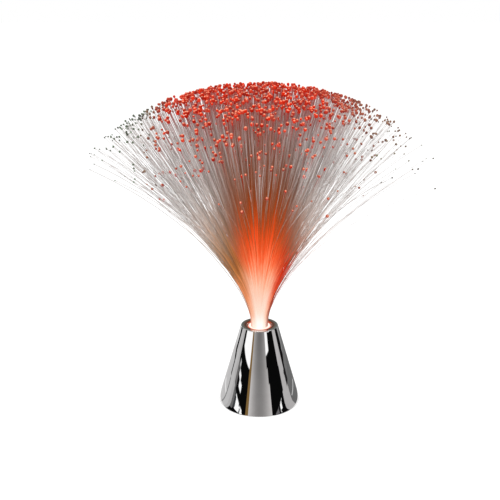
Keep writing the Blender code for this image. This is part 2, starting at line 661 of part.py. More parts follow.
def make_battery_door(hinge):
    """The door, in the frame of its hinge line: the lower edge of the opening at -Y."""
    length = 2 * BAY_HALF_LENGTH
    half_width = BAY_HALF_WIDTH - SEAT_GAP
    panel = box("battery_door", (-half_width, SEAT_GAP, 0), (half_width, length - SEAT_GAP, DOOR_THICKNESS))
    door = piece("battery_door", panel, "black_plastic", hinge)
    hook_bottom = PLATE_THICKNESS + SEAT_GAP
    for number, side in enumerate((-1, 1)):
        stem = box(
            "stem",
            (-HOOK_WIDTH / 2, SEAT_GAP, DOOR_THICKNESS - OVERLAP),
            (HOOK_WIDTH / 2, SEAT_GAP + HOOK_STEM, hook_bottom + HOOK_THICKNESS),
        )
        hook = box(
            "hook",
            (-HOOK_WIDTH / 2, -HOOK_REACH, hook_bottom),
            (HOOK_WIDTH / 2, SEAT_GAP + HOOK_STEM / 2, hook_bottom + HOOK_THICKNESS),
        )
        at = (side * CELL_PITCH / 2, 0, 0)
        join(door, helper(f"hook_stem_{number}", stem, at), helper(f"hook_{number}", hook, at))
    end = length - SEAT_GAP
    latch = box(
        "latch",
        (-LATCH_WIDTH / 2, end - LATCH_THICKNESS, DOOR_THICKNESS - OVERLAP),
        (LATCH_WIDTH / 2, end, DOOR_THICKNESS + LATCH_HEIGHT),
    )
    join(door, helper("latch_wall", latch))

    # Slots that free the latch tongue, and a groove across it for the finger nail
    for number, side in enumerate((-1, 1)):
        slot = box(
            "slot",
            (-LATCH_SLOT / 2, end - LATCH_TONGUE_LENGTH, -OVERRUN),
            (LATCH_SLOT / 2, end + OVERRUN, DOOR_THICKNESS + OVERRUN),
        )
        at = (side * (LATCH_WIDTH + LATCH_SLOT) / 2, 0, 0)
        cut(door, helper(f"latch_slot_{number}", slot, at))
    groove = box(
        "groove",
        (-LATCH_WIDTH / 4, end - LATCH_TONGUE_LENGTH / 2, -OVERRUN),
        (LATCH_WIDTH / 4, end - LATCH_TONGUE_LENGTH / 4, DOOR_THICKNESS / 3),
    )
    cut(door, helper("latch_groove", groove))


def make_feet(lamp):
    radius, top = FOOT_DIAMETER / 2, PLATE_BOTTOM + FOOT_RECESS - SEAT_GAP
    outline = rounded([(0, top, 0), (radius, top, 0), (radius, 0, FOOT_EDGE_RADIUS), (0, 0, 0)])
    mesh = turned("foot", outline, SMALL_SEGMENTS)
    for number, angle in enumerate(FOOT_ANGLES, 1):
        piece(f"foot_{number}", mesh, "rubber", lamp, on_ring(FOOT_RING, angle))


def make_screws(lamp):
    large = screw_mesh(
        "base_screw", BASE_SCREW_HEAD_DIAMETER, BASE_SCREW_HEAD_HEIGHT, BASE_SCREW_DIAMETER, BASE_SCREW_LENGTH
    )
    small = screw_mesh(
        "small_screw", SMALL_SCREW_HEAD_DIAMETER, SMALL_SCREW_HEAD_HEIGHT, SMALL_SCREW_DIAMETER, SMALL_SCREW_LENGTH
    )
    short = screw_mesh(
        "short_screw", SMALL_SCREW_HEAD_DIAMETER, SMALL_SCREW_HEAD_HEIGHT, SMALL_SCREW_DIAMETER, SWITCH_SCREW_LENGTH
    )
    for number, angle in enumerate(BASE_SCREW_ANGLES, 1):
        piece(f"base_screw_{number}", large, "steel", lamp, on_ring(BASE_BOSS_RING, angle, BASE_SCREW_SEAT))
    for number, angle in enumerate(TOP_BOSS_ANGLES, 1):
        at = on_ring(TOP_BOSS_RING, angle, EAR_BOTTOM - SEAT_GAP)
        piece(f"holder_screw_{number}", small, "steel", lamp, at)
    for number, angle in enumerate(BOARD_BOSS_ANGLES, 1):
        at = on_ring(BOARD_BOSS_RING, angle, BOARD_BOTTOM - SEAT_GAP)
        piece(f"board_screw_{number}", small, "steel", lamp, at)
    for number, side in enumerate((-1, 1), 1):
        at = (SWITCH_X, side * SWITCH_SCREW_OFFSET, SWITCH_FRAME_BOTTOM + SWITCH_SHEET + SEAT_GAP)
        screw = piece(f"switch_screw_{number}", short, "steel", lamp, at)
        screw.rotation_euler.x = math.pi


def make_cells(lamp):
    """Three cells laid along Y, the middle one the other way round."""
    radius, crimp = CELL_DIAMETER / 2, CELL_DIAMETER / 2 - CELL_CRIMP_DEPTH
    shoulder = CELL_LENGTH - CELL_BUTTON_HEIGHT
    button = CELL_BUTTON_DIAMETER / 2
    outline = rounded(
        [
            (0, CELL_LENGTH, 0),
            (button, CELL_LENGTH, 0),
            (button, shoulder, 0),
            (crimp, shoulder, 0),
            (radius, shoulder - CELL_CRIMP_HEIGHT, 0),
            (radius, 0, CELL_EDGE_RADIUS),
            (0, 0, 0),
        ]
    )
    mesh = turned("cell", outline, 2 * SCREW_SEGMENTS)
    mesh.transform(Matrix.Rotation(-math.pi / 2, 4, "X"))  # the button points along +Y
    end = BAY_HALF_LENGTH - CONTACT_DEPTH - CONTACT_SPRING_LENGTH
    for number, side in enumerate((1, -1, 1), 1):
        at = ((number - 2) * CELL_PITCH, -side * end, CELL_AXIS)
        cell = piece(f"battery_cell_{number}", mesh, "cell_jacket", lamp, at)
        cell.rotation_euler.z = 0 if side > 0 else math.pi


def spring_points():
    """A conical coil along +Y, whose wide end starts in the contact plate and whose last turn lies flat."""
    wire = SPRING_WIRE_DIAMETER
    start, end = wire * SPRING_START_SHARE, CONTACT_SPRING_LENGTH - wire / 2
    points = []
    for step in range(SPRING_STEPS + 1):
        turn = SPRING_TURNS * step / SPRING_STEPS
        share = min(turn / (SPRING_TURNS - 1), 1.0)
        diameter = SPRING_BASE_DIAMETER + (SPRING_TIP_DIAMETER - SPRING_BASE_DIAMETER) * step / SPRING_STEPS
        radius = (diameter - wire) / 2
        angle = 2 * math.pi * turn
        points.append(Vector((radius * math.cos(angle), start + (end - start) * share, radius * math.sin(angle))))
    return points


def make_contact(name, lamp, side, plate_low, plate_high, spring_x=None, tab_x=None):
    """A contact plate at one end of the bay (side 1 is +Y), with a coil spring, a solder tab, or both."""
    inner_face = side * (BAY_HALF_LENGTH - SEAT_GAP - CONTACT_THICKNESS)
    outer_face = side * (BAY_HALF_LENGTH - SEAT_GAP)
    low, high = sorted((inner_face, outer_face))
    plate = box(
        name,
        (plate_low - CONTACT_WIDTH / 2, low, CELL_AXIS - CONTACT_BELOW_AXIS),
        (plate_high + CONTACT_WIDTH / 2, high, CELL_AXIS + CONTACT_ABOVE_AXIS),
    )
    contact = piece(name, plate, "steel", lamp)
    if spring_x is not None:
        bm = bmesh.new()
        points = spring_points()
        add_tube(bm, points, [SPRING_WIRE_DIAMETER / 2] * len(points), 4)
        coil = helper(f"{name}_coil", mesh_from("coil", bm), (spring_x, inner_face, CELL_AXIS))
        coil.rotation_euler.z = math.pi if side > 0 else 0
        join(contact, coil)
    if tab_x is not None:
        tab = box(
            "tab",
            (tab_x - SOLDER_TAB_WIDTH / 2, low, CELL_AXIS),
            (tab_x + SOLDER_TAB_WIDTH / 2, high, BAY_TOP + SOLDER_TAB_HEIGHT),
        )
        join(contact, helper(f"{name}_tab", tab))


def make_contacts(lamp):
    left, middle, right = -CELL_PITCH, 0, CELL_PITCH
    make_contact("contact_positive", lamp, 1, left, left, tab_x=left)
    make_contact("contact_link_rear", lamp, 1, middle, right, spring_x=middle)
    make_contact("contact_link_front", lamp, -1, left, middle, spring_x=left)
    make_contact("contact_negative", lamp, -1, right, right, spring_x=right, tab_x=right)


def make_switch(lamp, travel):
    """A slide switch: a folded steel frame, a phenolic back with three pins, and the sliding knob."""
    x, bottom = SWITCH_X, SWITCH_FRAME_BOTTOM
    top = bottom + SWITCH_CAN_HEIGHT
    ears = slab(
        "switch_frame",
        SWITCH_CAN_WIDTH / 2,
        SWITCH_CAN_LENGTH / 2 + SWITCH_EAR_LENGTH,
        bottom,
        bottom + SWITCH_SHEET,
        SWITCH_SHEET,
    )
    frame = piece("switch_frame", ears, "steel", lamp, (x, 0, 0))
    can = slab("can", SWITCH_CAN_WIDTH / 2, SWITCH_CAN_LENGTH / 2, bottom + SWITCH_SHEET / 2, top)
    cavity = slab("can_inside", SWITCH_CAVITY_WIDTH / 2, SWITCH_CAVITY_LENGTH / 2, bottom + SWITCH_SHEET, top + OVERRUN)
    slot = slab(
        "knob_slot",
        SWITCH_KNOB_WIDTH / 2 + SWITCH_RUNNING_GAP,
        (SWITCH_KNOB_LENGTH + SWITCH_TRAVEL) / 2 + SWITCH_RUNNING_GAP,
        bottom - OVERRUN,
        bottom + SWITCH_SHEET + OVERRUN,
    )
    join(frame, helper("switch_can", can, (x, 0, 0)))
    cut(frame, helper("switch_cavity", cavity, (x, 0, 0)), helper("switch_knob_slot", slot, (x, 0, 0)))
    for number, side in enumerate((-1, 1)):
        hole = cylinder(
            "hole", SMALL_SCREW_DIAMETER / 2 + SEAT_GAP, bottom - OVERRUN, bottom + SWITCH_SHEET + OVERRUN, SCREW_SEGMENTS
        )
        cut(frame, helper(f"switch_hole_{number}", hole, (x, side * SWITCH_SCREW_OFFSET, 0)))

    back_bottom = top + SEAT_GAP
    back_top = back_bottom + SWITCH_BASE_THICKNESS
    back = slab("switch_back", SWITCH_CAN_WIDTH / 2, SWITCH_CAN_LENGTH / 2, back_bottom, back_top)
    base = piece("switch_back", back, "phenolic", lamp, (x, 0, 0))
    for number in range(3):
        pin = box(
            "pin",
            (-SWITCH_PIN_WIDTH / 2, -SWITCH_PIN_THICKNESS / 2, back_bottom + SWITCH_BASE_THICKNESS / 2),
            (SWITCH_PIN_WIDTH / 2, SWITCH_PIN_THICKNESS / 2, back_top + SWITCH_PIN_HEIGHT),
        )
        join(base, helper(f"switch_pin_{number}", pin, (x, (number - 1) * SWITCH_PIN_PITCH, 0)))

    knob_bottom = PLATE_BOTTOM + SWITCH_KNOB_SINK
    carriage_bottom = bottom + SWITCH_SHEET + SWITCH_RUNNING_GAP
    knob = slab("switch_knob", SWITCH_KNOB_WIDTH / 2, SWITCH_KNOB_LENGTH / 2, knob_bottom, carriage_bottom + OVERLAP)
    slider = piece("switch_knob", knob, "black_plastic", travel)
    carriage = slab(
        "carriage",
        SWITCH_CARRIAGE_WIDTH / 2,
        SWITCH_CARRIAGE_LENGTH / 2,
        carriage_bottom,
        carriage_bottom + SWITCH_CARRIAGE_HEIGHT,
    )
    join(slider, helper("switch_carriage", carriage))


def make_holder(lamp):
    """The white tube under the top ring: the head's socket above, the LEDs' chamber below."""
    ledge = HEAD_BOTTOM - SEAT_GAP
    chamber = LED_RING_RADIUS + LED_FLANGE_DIAMETER / 2 + CHAMBER_MARGIN
    lip_bottom = HOLDER_TOP - HOLDER_LIP_THICKNESS
    outline = [
        (chamber, HOLDER_BOTTOM),
        (HOLDER_RADIUS, HOLDER_BOTTOM),
        (HOLDER_RADIUS, lip_bottom),
        (HOLDER_LIP_RADIUS, lip_bottom),
        (HOLDER_LIP_RADIUS, HOLDER_TOP),
        (HOLDER_BORE, HOLDER_TOP),
        (HOLDER_BORE, ledge),
        (HOLDER_BORE - HOLDER_LEDGE, ledge),
    ]
    holder = piece("led_holder", turned("led_holder", outline), "white_plastic", lamp)
    half = TOP_BOSS_DIAMETER / 2 + EAR_MARGIN
    near, far = HOLDER_RADIUS - HOLDER_WALL / 2, TOP_BOSS_RING + half
    corners = [(near, -half, 0), (far, -half, EAR_CORNER), (far, half, EAR_CORNER), (near, half, 0)]
    for number, angle in enumerate(TOP_BOSS_ANGLES):
        ear = extruded("ear", rounded(corners, 2 * FILLET_STEPS), EAR_BOTTOM, EAR_TOP)
        join(holder, helper(f"ear_{number}", ear, (0, 0, 0), angle))
        hole = cylinder(
            "hole", SMALL_SCREW_DIAMETER / 2 + SEAT_GAP, EAR_BOTTOM - OVERRUN, EAR_TOP + OVERRUN, SCREW_SEGMENTS
        )
        cut(holder, helper(f"ear_hole_{number}", hole, on_ring(TOP_BOSS_RING, angle)))
    for number, angle in enumerate(BOARD_BOSS_ANGLES):
        at = on_ring(BOARD_BOSS_RING, angle)
        boss_top = HOLDER_BOTTOM + BOARD_BOSS_HEIGHT
        boss = cylinder("board_boss", BOARD_BOSS_DIAMETER / 2, HOLDER_BOTTOM, boss_top, SCREW_SEGMENTS)
        inside = cylinder("bore_keep", HOLDER_BORE - HOLDER_LEDGE + SEAT_GAP, HOLDER_BOTTOM - OVERRUN, boss_top + OVERRUN)
        boss = helper(f"board_boss_{number}", boss, at)
        cut(boss, helper(f"bore_keep_{number}", inside))
        join(holder, boss)
        hole = cylinder(
            "hole",
            SMALL_SCREW_DIAMETER / 2 + SEAT_GAP,
            HOLDER_BOTTOM - OVERRUN,
            BOARD_BOTTOM + SMALL_SCREW_LENGTH + SEAT_GAP,
            SCREW_SEGMENTS,
        )
        cut(holder, helper(f"board_boss_hole_{number}", hole, at))


WIRE_PAD_ANGLES = [math.radians(a) for a in (325, 235)]
RESISTOR_ENDS = [(side * RESISTOR_SPAN / 2, -RESISTOR_OFFSET) for side in (-1, 1)]


def make_board(lamp):
    """The round board under the holder, drilled for its screws, LED leads, resistor and wires."""
    board = piece("led_board", cylinder("led_board", BOARD_RADIUS, BOARD_BOTTOM, BOARD_TOP, RING_SEGMENTS), "board", lamp)
    holes = [(on_ring(BOARD_BOSS_RING, angle), SMALL_SCREW_DIAMETER) for angle in BOARD_BOSS_ANGLES]
    for angle in LED_ANGLES:
        for side in (-1, 1):
            at = on_ring(LED_RING_RADIUS, angle) + on_ring(side * LED_LEAD_SPACING / 2, angle)
            holes.append((at, LED_LEAD_WIDTH * math.sqrt(2)))
    holes += [(Vector((x, y, 0)), LEAD_DIAMETER) for x, y in RESISTOR_ENDS]
    holes += [(on_ring(WIRE_PAD_OFFSET, angle), WIRE_DIAMETER) for angle in WIRE_PAD_ANGLES]
    for number, (at, diameter) in enumerate(holes):
        hole = cylinder("hole", diameter / 2 + SEAT_GAP, BOARD_BOTTOM - OVERRUN, BOARD_TOP + OVERRUN, TUBE_SIDES)
        cut(board, helper(f"board_hole_{number}", hole, at))


def make_leds(lamp):
    """Three round LEDs that stand on the board, each with its two leads through it."""
    radius, flange = LED_DIAMETER / 2, LED_FLANGE_DIAMETER / 2
    steps = 2 * FILLET_STEPS
    dome = [
        (radius * math.sin(math.pi / 2 * k / steps), LED_BODY_HEIGHT + radius * math.cos(math.pi / 2 * k / steps))
        for k in range(steps + 1)
    ]
    outline = [(0.0, dome[0][1]), *dome[1:], (radius, LED_FLANGE_HEIGHT), (flange, LED_FLANGE_HEIGHT), (flange, 0), (0, 0)]
    for name, angle in zip(("led_red", "led_green", "led_blue"), LED_ANGLES):
        at = on_ring(LED_RING_RADIUS, angle, BOARD_TOP + SEAT_GAP)
        led = piece(name, turned(name, outline, SMALL_SEGMENTS), name, lamp, at, angle)
        for number, side in enumerate((-1, 1)):
            half = LED_LEAD_WIDTH / 2
            lead = box("lead", (-half, -half, -LED_LEAD_LENGTH), (half, half, OVERLAP))
            place = at + on_ring(side * LED_LEAD_SPACING / 2, angle)
            join(led, helper(f"{name}_lead_{number}", lead, place, angle))


def make_resistor(lamp):
    """An axial resistor hung under the board: leads and body are one tube of changing radius."""
    (x0, y), (x1, _) = RESISTOR_ENDS
    level = BOARD_BOTTOM - RESISTOR_DROP
    body = RESISTOR_LENGTH / 2
    thin, thick = LEAD_DIAMETER / 2, RESISTOR_DIAMETER / 2
    half = [
        (x0, BOARD_TOP, thin),
        (x0, level + thick, thin),
        (x0 + thin, level + thin, thin),
        (-body - thin, level, thin),
        (-body, level, thick / 2),
        (-body + thin, level, thick),
        (-thick, level, thick),
    ]
    route = half + [(-x, z, radius) for x, z, radius in reversed(half)]
    bm = bmesh.new()
    add_tube(bm, [(x, y, z) for x, z, _ in route], [radius for _, _, radius in route], TUBE_SIDES)
    piece("resistor", mesh_from("resistor", bm), "resistor", lamp)


def make_wires(lamp):
    """Three leads: cell to switch, switch to board, and board back to cell."""
    tab_top = BAY_TOP + SOLDER_TAB_HEIGHT
    wire = WIRE_DIAMETER / 2
    beside = wire + SEAT_GAP
    contact_face = BAY_HALF_LENGTH - SEAT_GAP - CONTACT_THICKNESS
    pin_top = SWITCH_FRAME_BOTTOM + SWITCH_CAN_HEIGHT + SEAT_GAP + SWITCH_BASE_THICKNESS + SWITCH_PIN_HEIGHT
    pin_side = SWITCH_PIN_THICKNESS / 2 + beside
    over_bay = tab_top + WIRE_LIFT
    positive = (-CELL_PITCH, contact_face - beside, tab_top - WIRE_TUCK)
    negative = (CELL_PITCH, -contact_face + beside, tab_top - WIRE_TUCK)
    first_pin = (SWITCH_X, SWITCH_PIN_PITCH + pin_side, pin_top - WIRE_TUCK)
    second_pin = (SWITCH_X, -pin_side, pin_top - WIRE_TUCK)
    pads = [on_ring(WIRE_PAD_OFFSET, angle, BOARD_TOP) for angle in WIRE_PAD_ANGLES]
    under = BOARD_BOTTOM - WIRE_LIFT
    routes = {
        "wire_positive": [
            positive,
            (-CELL_PITCH, positive[1] - beside, over_bay),
            (0, BAY_HALF_LENGTH / 2, over_bay + WIRE_LIFT),
            (BAY_HALF_WIDTH, SWITCH_PIN_PITCH + 2 * pin_side, over_bay + WIRE_LIFT / 2),
            first_pin,
        ],
        "wire_switched": [
            second_pin,
            (SWITCH_X, -pin_side, pin_top + WIRE_LIFT),
            (BAY_HALF_WIDTH, 0, (pin_top + under) / 2),
            (*pads[0].xy, under),
            pads[0],
        ],
        "wire_negative": [
            negative,
            (CELL_PITCH, negative[1] + beside, over_bay),
            (0, -BAY_HALF_LENGTH / 2, (over_bay + under) / 2),
            (*pads[1].xy, under),
            pads[1],
        ],
    }
    for name, route in routes.items():
        finish = "wire_black" if name == "wire_negative" else "wire_red"
        piece(name, tube(name, smooth_path(route, WIRE_STEPS), wire), finish, lamp)


def make_head(head):
    """The plug-in head, in the frame of the seat under its collar."""
    rim, edge = COLLAR_DIAMETER / 2, COLLAR_EDGE_RADIUS
    bundle = BUNDLE_DIAMETER / 2
    outline = rounded(
        [
            (rim, 0, 0),
            (rim, COLLAR_THICKNESS, edge),
            (SLEEVE_INNER, COLLAR_THICKNESS, edge),
            (SLEEVE_INNER, 0, 0),
            (COLLAR_BORE, 0, 0),
            (COLLAR_BORE, -HEAD_DEPTH, 0),
            (COLLAR_TUBE, -HEAD_DEPTH, 0),
            (COLLAR_TUBE, 0, 0),
        ]
    )
    piece("fibre_collar", turned("fibre_collar", outline), "lit_collar", head)
    sleeve_top, sleeve_bottom = -SEAT_GAP, SLEEVE_INSET - HEAD_DEPTH
    outline = [
        (SLEEVE_OUTER, sleeve_bottom),
        (SLEEVE_OUTER, sleeve_top),
        (SLEEVE_INNER, sleeve_top),
        (SLEEVE_INNER, sleeve_bottom),
    ]
    piece("bundle_sleeve", turned("bundle_sleeve", outline), "sleeve", head)
    potting_top = COLLAR_THICKNESS + POTTING_PROUD
    potting_bottom = potting_top - POTTING_THICKNESS
    core = cylinder("bundle_core", bundle, -HEAD_DEPTH, potting_bottom - SEAT_GAP, RING_SEGMENTS)
    piece("bundle_core", core, "potted_fibre", head)
    potting = cylinder("fibre_spray", bundle, potting_bottom, potting_top, 2 * SMALL_SEGMENTS)
    spray = piece("fibre_spray", potting, "clear_fibre", head)
    strands = helper("strands", strand_mesh(potting_top))
    join(spray, strands)


def strand_path(spread):
    """The (distance from the axis, height) of points along a fibre. spread is its place in the bundle, from 0 at the axis to 1."""
    root = spread * (BUNDLE_DIAMETER / 2 - STRAND_DIAMETER / 2 - STRAND_EDGE_MARGIN)
    share = spread**2  # of the bundle's fibres, those nearer the axis
    seen = math.sqrt(np.interp(share, LEAN_SHARES, np.square(LEAN_ANGLES)))  # spreads the tips evenly over the dome
    lean = SPREAD_FACTOR * seen
    outer = min(max(share - FRINGE_SHARE, 0) / (LEAN_SHARES[2] - FRINGE_SHARE), 1)
    droop = DROOP_ANGLE * outer**2
    step = FIBRE_LENGTH / PATH_STEPS
    points = [(root, 0.0)]
    for count in range(PATH_STEPS):
        along = (count + 0.5) * step
        angle = lean * (1 - math.exp(-along / NECK_LENGTH)) + droop * (along / FIBRE_LENGTH) ** 2
        radius, height = points[-1]
        points.append((radius + step * math.sin(angle), height + step * math.cos(angle)))
    return points


def strand_mesh(root_height):
    """All the fibres as closed three-sided tubes, in a sunflower pattern that never crosses."""
    bm = bmesh.new()
    centres = []
    for index in range(STRAND_COUNT):
        path = strand_path(math.sqrt((index + 0.5) / STRAND_COUNT))
        angle = index * GOLDEN_ANGLE
        stations = [path[round(share * PATH_STEPS)] for share in STATION_SHARES]
        points = [on_ring(radius, angle, root_height + height) for radius, height in stations]
        centres.append(points)
        sunk = points[0] - Vector((0, 0, OVERLAP))
        route = [sunk, *points[1:]]
        add_tube(bm, route, [STRAND_DIAMETER / 2] * len(route), STRAND_SIDES, angle)
    report_gap(np.array(centres))
    return mesh_from("strands", bm)


def report_gap(centres):
    """Prints the least gap between two strands, measured on points along their straight stretches."""
    shares = np.linspace(0, 1, 12)[:, None]
    least = np.inf
    for low, high in zip(range(len(STATION_SHARES) - 1), range(1, len(STATION_SHARES))):
        run = centres[:, low, None] * (1 - shares) + centres[:, high, None] * shares
        run = run.reshape(-1, 3)
        owner = np.repeat(np.arange(len(centres)), len(shares))
        for start in range(0, len(run), 500):
            away = np.linalg.norm(run[start : start + 500, None] - run[None], axis=2)
            away[owner[start : start + 500, None] == owner[None]] = np.inf
            least = min(least, away.min())
    print(f"least gap between two strands: {(least - STRAND_DIAMETER) / MM:.2f} mm")


def axis_empty(name, at, parent=None):
    made = linked(name, None, at)
    made.parent = parent
    return made


def build():
    for old in list(bpy.data.objects):
        bpy.data.objects.remove(old)
    lamp = axis_empty("lamp", (0, 0, 0))
    hinge = axis_empty("door_hinge_line", (0, -BAY_HALF_LENGTH, PLATE_BOTTOM), lamp)
    travel = axis_empty("switch_travel_line", (SWITCH_X, SWITCH_TRAVEL / 2, 0), lamp)
    head = axis_empty("head_seat", (0, 0, HEAD_SEAT), lamp)
    make_shell(lamp)
    make_bottom_plate(lamp)
    make_battery_door(hinge)
    make_feet(lamp)
    make_screws(lamp)
    make_cells(lamp)
    make_contacts(lamp)
    make_switch(lamp, travel)
    make_holder(lamp)
    make_board(lamp)
    make_leds(lamp)
    make_resistor(lamp)
    make_wires(lamp)
    make_head(head)


build()
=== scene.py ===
"""The looks of the fibre optic lamp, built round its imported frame.

Metres, +Z up, the lamp's axis at the origin and its feet on z = 0, as in the frame. Colours are written
as sRGB in 0 to 255 and made linear where they are used.
"""

import math

import bmesh
import bpy
import numpy as np
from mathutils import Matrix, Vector


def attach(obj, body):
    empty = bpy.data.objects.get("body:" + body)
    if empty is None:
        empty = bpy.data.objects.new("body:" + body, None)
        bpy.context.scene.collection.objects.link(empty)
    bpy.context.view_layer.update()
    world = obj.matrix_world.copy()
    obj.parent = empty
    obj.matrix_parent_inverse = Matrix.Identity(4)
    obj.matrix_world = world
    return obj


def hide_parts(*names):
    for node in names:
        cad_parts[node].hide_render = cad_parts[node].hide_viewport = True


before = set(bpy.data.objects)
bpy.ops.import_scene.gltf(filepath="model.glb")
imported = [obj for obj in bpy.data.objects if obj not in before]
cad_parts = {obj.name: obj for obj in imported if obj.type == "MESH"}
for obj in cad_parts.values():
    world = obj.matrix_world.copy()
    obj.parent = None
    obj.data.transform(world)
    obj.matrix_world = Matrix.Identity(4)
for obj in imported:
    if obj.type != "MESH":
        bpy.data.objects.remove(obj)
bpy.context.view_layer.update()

MM = 0.001

# The camera. Its focal length is given in pixels of a square picture that is IMAGE_SIZE wide.
CAMERA_PLACE = (0, -0.772, 0.414)
CAMERA_PITCH = 17.7  # degrees below the horizon
CAMERA_YAW = 0.73  # degrees to the left
CAMERA_FOCUS = 799
IMAGE_SIZE = 500
SENSOR_WIDTH = 36

# The lights: name, place, width and power
LIGHTS = (
    ("key_softbox", (-0.9, -1.1, 1.5), 1.2, 17),
    ("fill_softbox", (1.3, -0.9, 0.9), 1.2, 8),
    ("top_softbox", (0.1, 0.7, 1.8), 1.4, 10),
)
LIGHT_AIM = (0, 0, 0.2)
WORLD_STRENGTH = 0.55
FLOOR_SIZE = 12
FLOOR_GLOW = 0.88  # with the lights on it, the floor reaches white

# The cone, as the frame has it
SHELL_HEIGHT = 86 * MM
RIM_LIFT = 1 * MM
RIM_RADIUS = 43.3 * MM
TOP_RADIUS = 19.25 * MM
HOLE_RADIUS = 13.5 * MM
WALL = 2 * MM
TOP_THICKNESS = 2.4 * MM
EDGE_RING = 1.2 * MM  # rings this far from the edges keep the slope's reflections true
SHELL_SEGMENTS = 256
CHROME_SHARE = 0.74  # of the light that falls on it, what the chrome throws back

# The plug-in head
MOUTH_HEIGHT = 85.3 * MM
COLLAR_SEAT = 83 * MM
COLLAR_THICKNESS = 2 * MM
COLLAR_RADIUS = 12 * MM
COLLAR_MOUTH_RADIUS = 9.6 * MM
COLLAR_BORE_RADIUS = 10.5 * MM
COLLAR_TUBE_RADIUS = 11.5 * MM
COLLAR_BOTTOM = 63 * MM
FACE_BOTTOM = 82.7 * MM
BUNDLE_RADIUS = 9.3 * MM
RING_SEGMENTS = 128

# The fibres. A fibre's share is its place in the bundle, from 0 at the middle to 1 at the edge.
FIBRE_COUNT = 1900
FIBRE_GROUPS = 5
FIBRE_RADII = (0.2 * MM, 0.33 * MM)
FIBRE_SIDES = 5
FIBRE_LENGTH = 248.5 * MM
FIBRE_SINK = 0.4 * MM  # how far the fibres start below the face of the bundle
ROOT_MARGIN = 0.65 * MM  # between the outermost roots and the edge of the bundle
LENGTH_SCATTER = 0.03  # the share by which any of them may be shorter
SHORT_CHANCE = 0.2
SHORTEST_CUT = 0.26  # and by which the short ones may be
PATH_STEPS = 64
PATH_STATIONS = 17
PATH_WAVE = 0.012  # radians by which a path wavers to either side
LEAN_SHARES = (0.0, 0.62, 0.95, 1.0)  # of the fibres, those that lean less than
LEAN_DEGREES = (0.0, 22.0, 34.0, 38.0)
LEAN_SCATTER = math.radians(0.7)
TURN_SCATTER = 0.05  # radians
SPREAD_FACTOR = 1.12  # a fibre's lean over the angle at which its tip is seen from the mouth
FRINGE_SHARE = 0.7  # from here on the fibres droop more and turn out later
RIM_SHARE = 0.96  # and from here on most of all
DROOP_ANGLE = math.radians(16)
DROOP_SCATTER = math.radians(2)
NECK_LENGTH = 31 * MM
HELD_NECK = 0.55  # how much longer the necks of the outermost fibres are, but for every eighth
HELD_LEAN = 0.06  # and how much more those lean
HELD_CYCLE = 8
GOLDEN_ANGLE = math.pi * (3 - math.sqrt(5))
SEED = 7

# Half of the outer fibres at the right lean in, some at the left lean out, and a few stray from the rim
THINNED_SIDE = 0.5  # over this, the cosine of a tip's azimuth puts it at the right
THINNED_CHANCE = 0.5
THINNED_LEAN = 0.78
FILLED_SIDE = -0.7
FILLED_SHARES = (0.45, 0.75)
FILLED_CHANCE = 0.4
FILLED_LEAN = 1.25
STRAY_CHANCE = 0.04
STRAY_DEGREES = (2, 8)

# Loose locks, towards whose middles the tips are drawn
LOCK_COUNT = 260
LOCK_LEAN_SCATTER = 0.03
LOCK_TURN_SCATTER = 0.15
LOCK_PULL = (0.15, 0.5)  # the least pull, and how much more it may be

# Glints: a few thicker and paler fibres
GLINT_CHANCE = 0.03
GLINT_SIZE = 1.4
GLINT_LIMIT = 60 * MM  # none is further to the right

# The dark band and outlines of the neck, painted shade along its left and right sides: the shares of the
# fibres that draw them, and how far to that side their tips lie, as a cosine, each from none to full
BAND_SHARES = (0.66, 0.76)
RIGHT_RIM_SHARES = (0.87, 0.92)
LEFT_RIM_SHARES = (0.82, 0.88)
RIGHT_RIM_SIDES = (0.72, 0.92)
LEFT_RIM_SIDES = (0.76, 0.96)

# Slimmer fibres: the outer ones, and those that end at the right
SLIM_SHARES = (0.5, 0.7)
SLIM_OUTER = 0.12
SLIM_RIGHT = 0.24

# The melted tips
BEAD_RADIUS = 1.48 * MM
BEAD_SIZES = (0.68, 0.55)  # of that radius: the least, and how much more it may be
BEAD_LENGTH = 1.1
BEAD_SEGMENTS = 10
BEAD_RINGS = 6
BEAD_GROUPS = 2

# They are dimmer and smaller at the left, low at the fringe and at the right, and each of these changes
# comes in between two distances from the axis.
LEFT_ZONE = (85 * MM, 115 * MM)
FRINGE_ZONE = (100 * MM, 160 * MM)
RIGHT_ZONE = (50 * MM, 98 * MM)


def made_linear(colour):
    """An array of sRGB values in 0 to 255 as linear ones."""
    return np.where(colour <= 10.31, colour / 255 / 12.92, ((colour / 255 + 0.055) / 1.055) ** 2.4)


def linear(red, green, blue):
    """One sRGB colour as a linear one."""
    return tuple(made_linear(np.array([red, green, blue])).tolist())


# Node helpers

SMEAR_SIZE = 30  # times the grain
BUMP_DEPTH = 0.02 * MM


